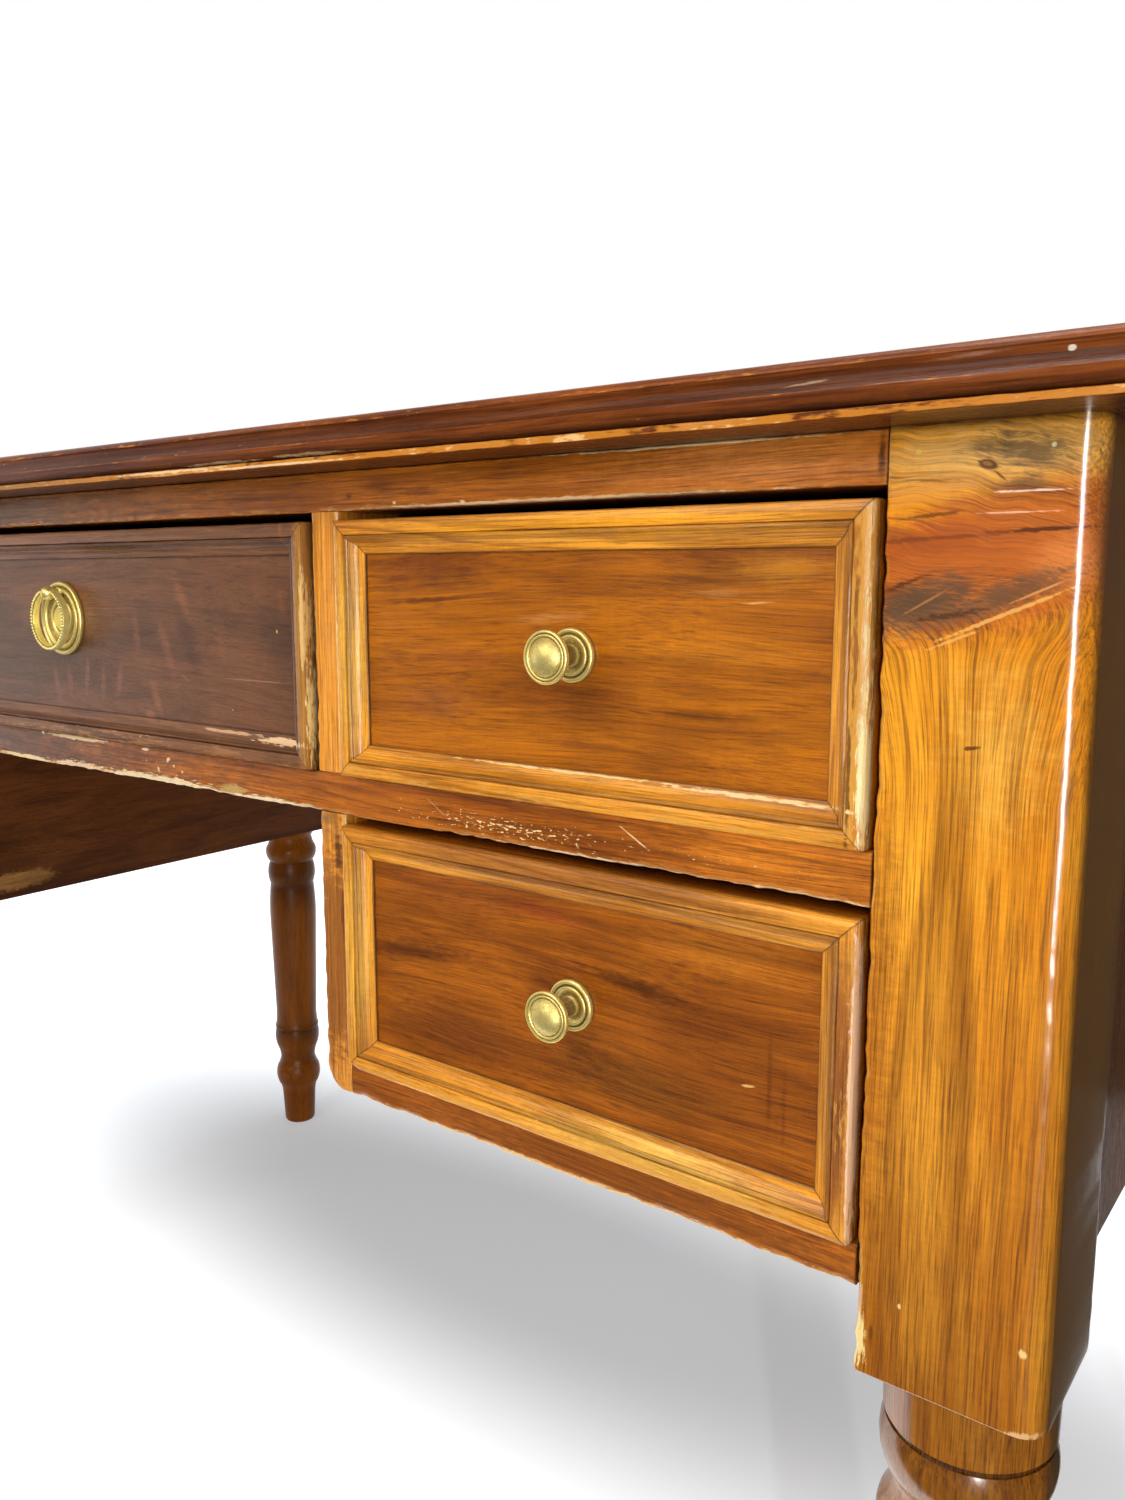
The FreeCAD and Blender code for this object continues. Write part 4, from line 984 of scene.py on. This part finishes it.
# Wear of the bottom, right, top and left strips on the right side; the left side mirrors it
strip_wears = {"middle": (0.9, 0.5, 0.6, 0.5), "upper": (0.8, 1.4, 0.4, 0.9),
               "lower": (0.9, 0.75, 0.3, 0.9)}
for number, name in enumerate(drawers):
    low, high = (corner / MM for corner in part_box("drawer_" + name + "_moulding"))
    middle = (low + high) / 2
    length, tall = high.x - low.x, high.z - low.z
    wears = strip_wears[name.split("_")[0]]
    if "left" in name:
        wears = (wears[0], wears[3], wears[2], wears[1])
    runs = mitred_strips(length, tall, drawer_profile, wears, 60.0 + number,
                         lambda x, y, z: (middle.x + x, high.y - z, middle.z + y),
                         step=3.0, depth=0.4)
    pine = dark_moulding_pine if name == "middle" else moulding_pine
    if "lower" in name:
        inner = 1 if "left" in name else -1
        for run in runs:
            for ring in run:
                ring[:] = [(ease_corner(place, inner, middle, length, tall), *rest)
                           for place, *rest in ring]
    moulding = piece("desk_drawer_" + name + "_moulding", runs, "drawer_" + name,
                     pine, sharp=30)
    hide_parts("drawer_" + name + "_moulding")

# ---------------------------------------------------------------- Knobs
# Solid brass, turned: a domed face in a rim, a slim neck, and a stepped plate with a dished
# middle. Polished on the high rings, brown with age in the grooves.


def aged_brass(name, sheen=0.7, light="#FAE48C", deep="#E8C868"):
    """Polished brass: yellow with a soft shine, olive and brown where the cloth doesn't reach."""
    material, shader, node = blank(name)
    place = node("TexCoord").outputs["Object"]
    here = node("VectorMath", {0: place, "Scale": 1000.0}, operation="SCALE").outputs[0]
    blooms = node("TexNoise", {"Vector": here, "Scale": 0.22, "Detail": 4.0,
                               "Roughness": 0.6}).outputs[0]
    specks = node("TexNoise", {"Vector": here, "Scale": 1.3, "Detail": 3.0,
                               "Roughness": 0.7}).outputs[0]
    dirt_and_shade = node("Attribute", attribute_name="dirt_and_shade").outputs["Fac"]
    cloud = node("MapRange", {"Value": blooms, 1: 0.42, 2: 0.66, 3: 0.0, 4: 0.55},
                interpolation_type="SMOOTHSTEP").outputs[0]
    colour = node("Mix", {0: cloud, 6: paint(light), 7: paint(deep)}, data_type="RGBA").outputs[2]
    aged = node("Math", {0: specks, 1: 0.8, 2: dirt_and_shade}, operation="MULTIPLY_ADD").outputs[0]
    aged = node("MapRange", {"Value": aged, 1: 0.6, 2: 1.35, 3: 0.0, 4: 0.9},
               interpolation_type="SMOOTHSTEP").outputs[0]
    colour = node("Mix", {0: aged, 6: colour, 7: paint("#64481A")}, data_type="RGBA").outputs[2]
    dull = node("Math", {0: blooms, 1: 0.25, 2: 0.24}, operation="MULTIPLY_ADD").outputs[0]
    dull = node("Math", {0: aged, 1: 0.25, 2: dull}, operation="MULTIPLY_ADD").outputs[0]
    bump = node("Bump", {"Strength": 0.4, "Distance": 0.00012, "Height": specks}).outputs[0]
    join(material.node_tree, shader, {"Base Color": colour, "Metallic": sheen, "Roughness": dull,
                                      "Normal": bump})
    return material


def turned_rings(profile, centre, steps=96):
    """Rings of a fitting turned about a line that runs from front to back through the centre."""
    rings = []
    for radius, reach, worn, dirt_and_shade in profile:
        ring = []
        for step in range(steps):
            angle = math.tau * step / steps
            place = (centre.x + radius * math.cos(angle), centre.y - reach,
                     centre.z + radius * math.sin(angle))
            ring.append((place, place, worn, dirt_and_shade))
        rings.append(ring)
    return rings


brass = aged_brass("aged_polished_brass")

# Sections from the foot to the middle of the face: radius, reach from the seat, wear, grime
knob_profile = along_arcs([(4.4, 0, 0, 0.9), (4.5, 1.0, 0, 0.7), (4.2, 1.8, 0, 0.5),
                           (3.5, 2.6, 0, 0.9), (3.2, 9.0, 0, 0.7),
                           (4.35, 12.6, 9.06, 14.4, 0, 0.45), (10.1, 15.2, 10.3, 16.2, 0, 0.0),
                           (9.98, 17.2, 9.3, 17.2, 0, 0.0), (9.05, 16.5, 0, 0.9),
                           (8.8, 16.5, 0, 0.9), (8.45, 17.35, 7.98, 17.2, 0, 0.0),
                           (7.72, 16.8, 0, 0.95), (7.4, 17.25, 0, 0.6),
                           (4.6, 19.1, 0.04, 20.0, 0, 0.28)], 8)
plate_profile = along_arcs([(10.6, 0, 0, 1.0), (10.6, 1.25, 0, 0.3), (10.3, 2.35, 9.2, 2.45, 0, 0),
                            (8.7, 1.75, 0, 0.9), (8.05, 1.75, 0, 0.9), (7.5, 2.8, 6.8, 2.58, 0, 0),
                            (6.15, 1.7, 0, 0.4), (5.1, 1.02, 0, 0.7), (2.5, 1.01, 0, 0.7)], 8)

# Each knob stands in the dish of its plate
dish_depth = 1.01
for name in drawers[1:]:
    low, high = (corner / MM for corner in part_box("knob_plate_" + name))
    seat = Vector(((low.x + high.x) / 2, high.y, (low.z + high.z) / 2))
    body = "drawer_" + name
    plate = piece("desk_knob_plate_" + name, [turned_rings(plate_profile, seat)], body,
                  brass, sharp=50)
    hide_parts("knob_plate_" + name)
    land = seat - Vector((0, dish_depth, 0))
    knob = piece("desk_knob_" + name, [turned_rings(knob_profile, land)], body, brass,
                 sharp=50)
    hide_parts("knob_" + name)

# ---------------------------------------------------------------- Ring pull
# Cast and turned brass: a stepped plate with a raised boss, a post that ends in a ball, and a
# flat ring with a beaded front edge, which swings on two pins in the ball.

low, high = (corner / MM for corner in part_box("ring_pull_plate"))
seat = Vector(((low.x + high.x) / 2, high.y, (low.z + high.z) / 2))
pull_plate_profile = along_arcs([(20.7, 0, 0, 1.0), (20.7, 1.44, 0, 0.3),
                                 (20.3, 2.56, 19.0, 2.62, 0, 0), (18.2, 1.86, 0, 0.9),
                                 (17.2, 1.86, 0, 0.7), (16.4, 3.18, 15.1, 2.75, 0, 0),
                                 (14.5, 1.86, 0, 0.8), (11.2, 1.22, 0, 0.6),
                                 (10.3, 2.11, 9.1, 1.98, 0, 0), (8.5, 1.34, 0, 0.9),
                                 (7.7, 1.34, 0, 0.9), (7.0, 2.3, 5.8, 2.43, 0, 0),
                                 (0.05, 2.56, 0, 0.25)], 6)
plate = piece("desk_ring_pull_plate", [turned_rings(pull_plate_profile, seat, 128)],
              "drawer_middle", brass, 50)
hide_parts("ring_pull_plate")

hinge = next(joint for joint in frame["joints"] if joint["name"] == "ring_pull_hinge")
pivot = Vector(hinge["pos_m"]) / MM
neck_radius, ball_radius = 2.6, 4.0
standoff = seat.y - pivot.y
ball_foot = math.sqrt(ball_radius ** 2 - neck_radius ** 2)
post_profile = along_arcs([(neck_radius, 0.3, 0, 0.9), (3.4, 1.9, 0, 0.8), (3.4, 3.2, 0, 0.3),
                           (neck_radius, 3.8, 0, 0.6), (neck_radius, standoff - ball_foot, 0, 0.4),
                           (ball_radius, standoff, 0.04, standoff + ball_radius - 0.001, 0, 0)], 14)
post_seat = Vector((pivot.x, seat.y, pivot.z))
post = piece("desk_ring_pull_post", [turned_rings(post_profile, post_seat, 48)], "drawer_middle",
             brass, 50)
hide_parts("ring_pull_post")

# The ring's mean radius, width, depth and rounding as in the CAD, and its pins; the band is drawn
# thinner and shorter, so that the beads stand out in front of it
ring_radius, ring_radial, ring_depth, ring_soft = 15.4, 3.4, 5.0, 0.9
side_reach, pin_radius = 4.4, 1.2
ring_centre = Vector((pivot.x, pivot.y, pivot.z - math.sqrt(ring_radius ** 2 - side_reach ** 2)))
band_thick, bead_radius = 2.3, 0.82
band_section = bar_outline(band_thick, ring_depth - bead_radius, (0.5, 0.5, ring_soft, ring_soft),
                           (0, 0, 0, 0), band=0.15, arc_steps=5)
half_gap = math.asin(side_reach / ring_radius)
band_rings = []
band_steps = 120
for step in range(band_steps + 1):
    angle = math.pi / 2 + half_gap + (math.tau - 2 * half_gap) * step / band_steps
    ring = []
    for u, v, corner, edge, wear in band_section:
        radius = ring_radius + ring_radial / 2 - band_thick + u
        place = (ring_centre.x + radius * math.cos(angle),
                 pivot.y - ring_depth / 2 + bead_radius + v,
                 ring_centre.z + radius * math.sin(angle))
        ring.append((place, place, 0, 1.0 if v < 0.2 else 0.05))
    band_rings.append(ring)
pins = []
pin_steps = 24
for sign in (-1, 1):
    rings = []
    for x in (0.8, 3.0, side_reach + 1.4):
        ring = []
        for step in range(pin_steps):
            angle = math.tau * step / pin_steps
            place = (pivot.x + sign * x, pivot.y + pin_radius * math.cos(angle),
                     pivot.z + pin_radius * math.sin(angle))
            ring.append((place, place, 0, 0.6))
        rings.append(ring)
    pins.append(rings)

# The ring and its beads are kept bright by the hand; their lighter brass is also partly painted
# light, to make the ring read as bright as it shines
handled_brass_painted_bright = aged_brass("handled_brass_painted_bright", 0.5, "#FFEE98", "#F6D670")
ring = piece("desk_ring_pull_ring", [band_rings] + pins, "pull_ring", handled_brass_painted_bright,
             sharp=50)
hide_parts("ring_pull_ring")

# The beads stand along an arc on the ring's front edge, which stops short of the pins
bead_count, arc_margin = 52, 0.05
tree = bpy.data.node_groups.new("ring_beads", "GeometryNodeTree")
tree.interface.new_socket("Geometry", in_out="OUTPUT", socket_type="NodeSocketGeometry")
bead_path = ring_radius + ring_radial / 2 - bead_radius
for label, kind, value in (("Ring radius", "NodeSocketFloat", bead_path * MM),
                           ("Bead radius", "NodeSocketFloat", bead_radius * MM),
                           ("Beads", "NodeSocketInt", bead_count)):
    tree.interface.new_socket(label, in_out="INPUT", socket_type=kind).default_value = value
node = partial(add, tree)
given = node("NodeGroupInput").outputs
arc = node("GeometryNodeCurveArc", {"Resolution": given["Beads"], "Radius": given["Ring radius"],
                                    "Start Angle": math.pi / 2 + half_gap + arc_margin,
                                    "Sweep Angle": math.tau - 2 * half_gap - 2 * arc_margin})
bead = node("GeometryNodeMeshIcoSphere", {"Radius": given["Bead radius"], "Subdivisions": 2})
beads = node("GeometryNodeInstanceOnPoints", {"Points": arc.outputs["Curve"],
                                              "Instance": bead.outputs["Mesh"]})
upright = node("GeometryNodeTransform", {"Geometry": beads.outputs[0],
                                         "Rotation": (math.pi / 2, 0, 0)})
solid = node("GeometryNodeRealizeInstances", {"Geometry": upright.outputs[0]})
finish = node("GeometryNodeSetMaterial", {"Geometry": solid.outputs[0], "Material": handled_brass_painted_bright})
rounded = node("GeometryNodeSetShadeSmooth", {"Geometry": finish.outputs[0]})
node("NodeGroupOutput", {0: rounded.outputs[0]})
carrier = bpy.data.objects.new("bead_carrier", bpy.data.meshes.new("bead_carrier"))
bpy.context.scene.collection.objects.link(carrier)
carrier.modifiers.new("beads", "NODES").node_group = tree
bpy.context.view_layer.update()
evaluated = carrier.evaluated_get(bpy.context.evaluated_depsgraph_get())
bead_mesh = bpy.data.meshes.new_from_object(evaluated)
bpy.data.objects.remove(carrier)
bead_centre = Vector((ring_centre.x, pivot.y - ring_depth / 2 + bead_radius, ring_centre.z))
bead_mesh.transform(Matrix.Translation(bead_centre * MM))
beading = bpy.data.objects.new("desk_ring_pull_beads", bead_mesh)
bpy.context.scene.collection.objects.link(beading)
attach(beading, "pull_ring")

# ---------------------------------------------------------------- Studio
# A pale floor, a white room that the camera and the reflections see, soft lamps before and above
# the desk, and two upright lamps at the right that draw the highlight down the leg's arris.

scene = bpy.context.scene
floor_mesh = bpy.data.meshes.new("floor")
floor_reach = 9
corners = [(x * floor_reach, y * floor_reach, 0) for x, y in ((-1, -1), (1, -1), (1, 1), (-1, 1))]
floor_mesh.from_pydata(corners, [], [(0, 1, 2, 3)])
floor = bpy.data.objects.new("floor", floor_mesh)
scene.collection.objects.link(floor)


def seen_directly(node):
    """One for camera, glossy and transmission rays, nought for the rays that light the desk."""
    rays = node("LightPath").outputs
    seen = rays["Is Camera Ray"]
    for kind in ("Is Glossy Ray", "Is Transmission Ray"):
        seen = node("Math", {0: seen, 1: rays[kind]}, operation="MAXIMUM").outputs[0]
    return seen


# Matt white paint: it glows for those rays alone, and the glow is dimmed in an ellipse under the
# desk, a painted shadow there over the lamps' own
floor_paint, shader, node = blank("matt_white_floor")
spot = node("TexCoord").outputs["Object"]
spot = node("VectorMath", {0: spot, 1: (0.75, 2.6, 1.0), 2: (0.06, -0.546, 0.0)},
            operation="MULTIPLY_ADD").outputs[0]
away = node("VectorMath", {0: spot}, operation="LENGTH").outputs["Value"]
glow = node("MapRange", {"Value": away, 1: 0.2, 2: 0.95, 3: 0.16, 4: 1.0},
            interpolation_type="SMOOTHSTEP").outputs[0]
glow = node("Math", {0: seen_directly(node), 1: glow}, operation="MULTIPLY").outputs[0]
join(floor_paint.node_tree, shader, {"Base Color": paint("#DFE7F1"), "Roughness": 0.9,
                                     "Emission Color": paint("#FFFFFF"), "Emission Strength": glow})
floor_mesh.materials.append(floor_paint)

world = bpy.data.worlds.new("studio")
scene.world = world
world.use_nodes = True
node = partial(add, world.node_tree)
strength = node("MapRange", {"Value": seen_directly(node), 3: 0.3, 4: 1.0}).outputs[0]
join(world.node_tree, world.node_tree.nodes["Background"],
     {"Color": paint("#FFFFFF"), "Strength": strength})

# Black felt before, above and at the right of the desk and on the floor there, met only by
# reflections, keeps a white veil off the varnish
cloth_mesh = bpy.data.meshes.new("black_cloth")
wall_line = ((-3.4, -2.9), (1.6, -2.9), (1.6, 1.0), (0.5, 1.0))
ground_line = ((-2.6, -2.9), (1.6, -2.9), (1.6, 1.0), (0.6, 1.0), (0.6, -0.5), (-2.0, -0.5))
hung = [(x, y, z) for z in (0.0, 4.0) for x, y in wall_line]
laid = [(x, y, 0.001) for x, y in ground_line]
stretched = [(-3.4, 0.6, 4.0), (1.6, 0.6, 4.0)]
cloth_mesh.from_pydata(hung + laid + stretched, [], [
    (0, 1, 5, 4), (1, 2, 6, 5), (2, 3, 7, 6), (8, 9, 12, 13), (9, 10, 11, 12), (4, 5, 15, 14)])
cloth = bpy.data.objects.new("black_cloth", cloth_mesh)
cloth.visible_camera = cloth.visible_diffuse = cloth.visible_shadow = False
scene.collection.objects.link(cloth)
felt, shader, node = blank("black_felt")
join(felt.node_tree, shader, {"Base Color": paint("#302F2D"), "Roughness": 1.0})
cloth_mesh.materials.append(felt)


def lamp(name, place, aim, wide, tall, watts, warmth="#FFFFFF"):
    """Rectangular soft lamp at a place, turned to a point, in metres."""
    light = bpy.data.lights.new(name, "AREA")
    light.shape = "RECTANGLE"
    light.size, light.size_y = wide, tall
    light.energy = watts
    light.color = paint(warmth)[:3]
    made = bpy.data.objects.new(name, light)
    made.location = place
    made.rotation_euler = (Vector(aim) - Vector(place)).to_track_quat("-Z", "Y").to_euler()
    scene.collection.objects.link(made)
    return made


# Key and overhead light the whole desk. Edge and glint stand together at the right; glint is met
# only by reflections, so the highlight is wide and bright without more light on the wood
lamp("key", (-0.2, -2.1, 1.7), (0.15, -0.3, 0.6), 1.5, 1.1, 24.0, "#FFF8EE")
lamp("edge", (1.4, -1.8, 0.75), (0.5, -0.3, 0.6), 0.03, 1.4, 13.0)
lamp("glint", (1.42, -1.8, 0.75), (0.5, -0.3, 0.6), 0.26, 1.4, 25.0).visible_diffuse = False
lamp("overhead", (0.0, -0.74, 3.6), (0.0, 0.0, 0.0), 1.5, 1.0, 60.0)

# The camera stands near the front right leg, a little under the height of the top
camera = bpy.data.cameras.new("camera")
camera.lens = 28.01
camera.sensor_width = 36.0
camera.clip_start = 0.02
viewer = bpy.data.objects.new("camera", camera)
camera_place = (0.6311, -0.669, 0.7019)
yaw, pitch = math.radians(37.14), math.radians(8.45)
rightward = Vector((math.cos(yaw), math.sin(yaw), 0))
forward = Vector((-math.sin(yaw) * math.cos(pitch), math.cos(yaw) * math.cos(pitch),
                  -math.sin(pitch)))
upward = rightward.cross(forward)
turn = Matrix((rightward, upward, -forward)).transposed().to_4x4()
viewer.matrix_world = Matrix.Translation(camera_place) @ turn
scene.collection.objects.link(viewer)
scene.camera = viewer
scene.view_settings.view_transform = "Standard"
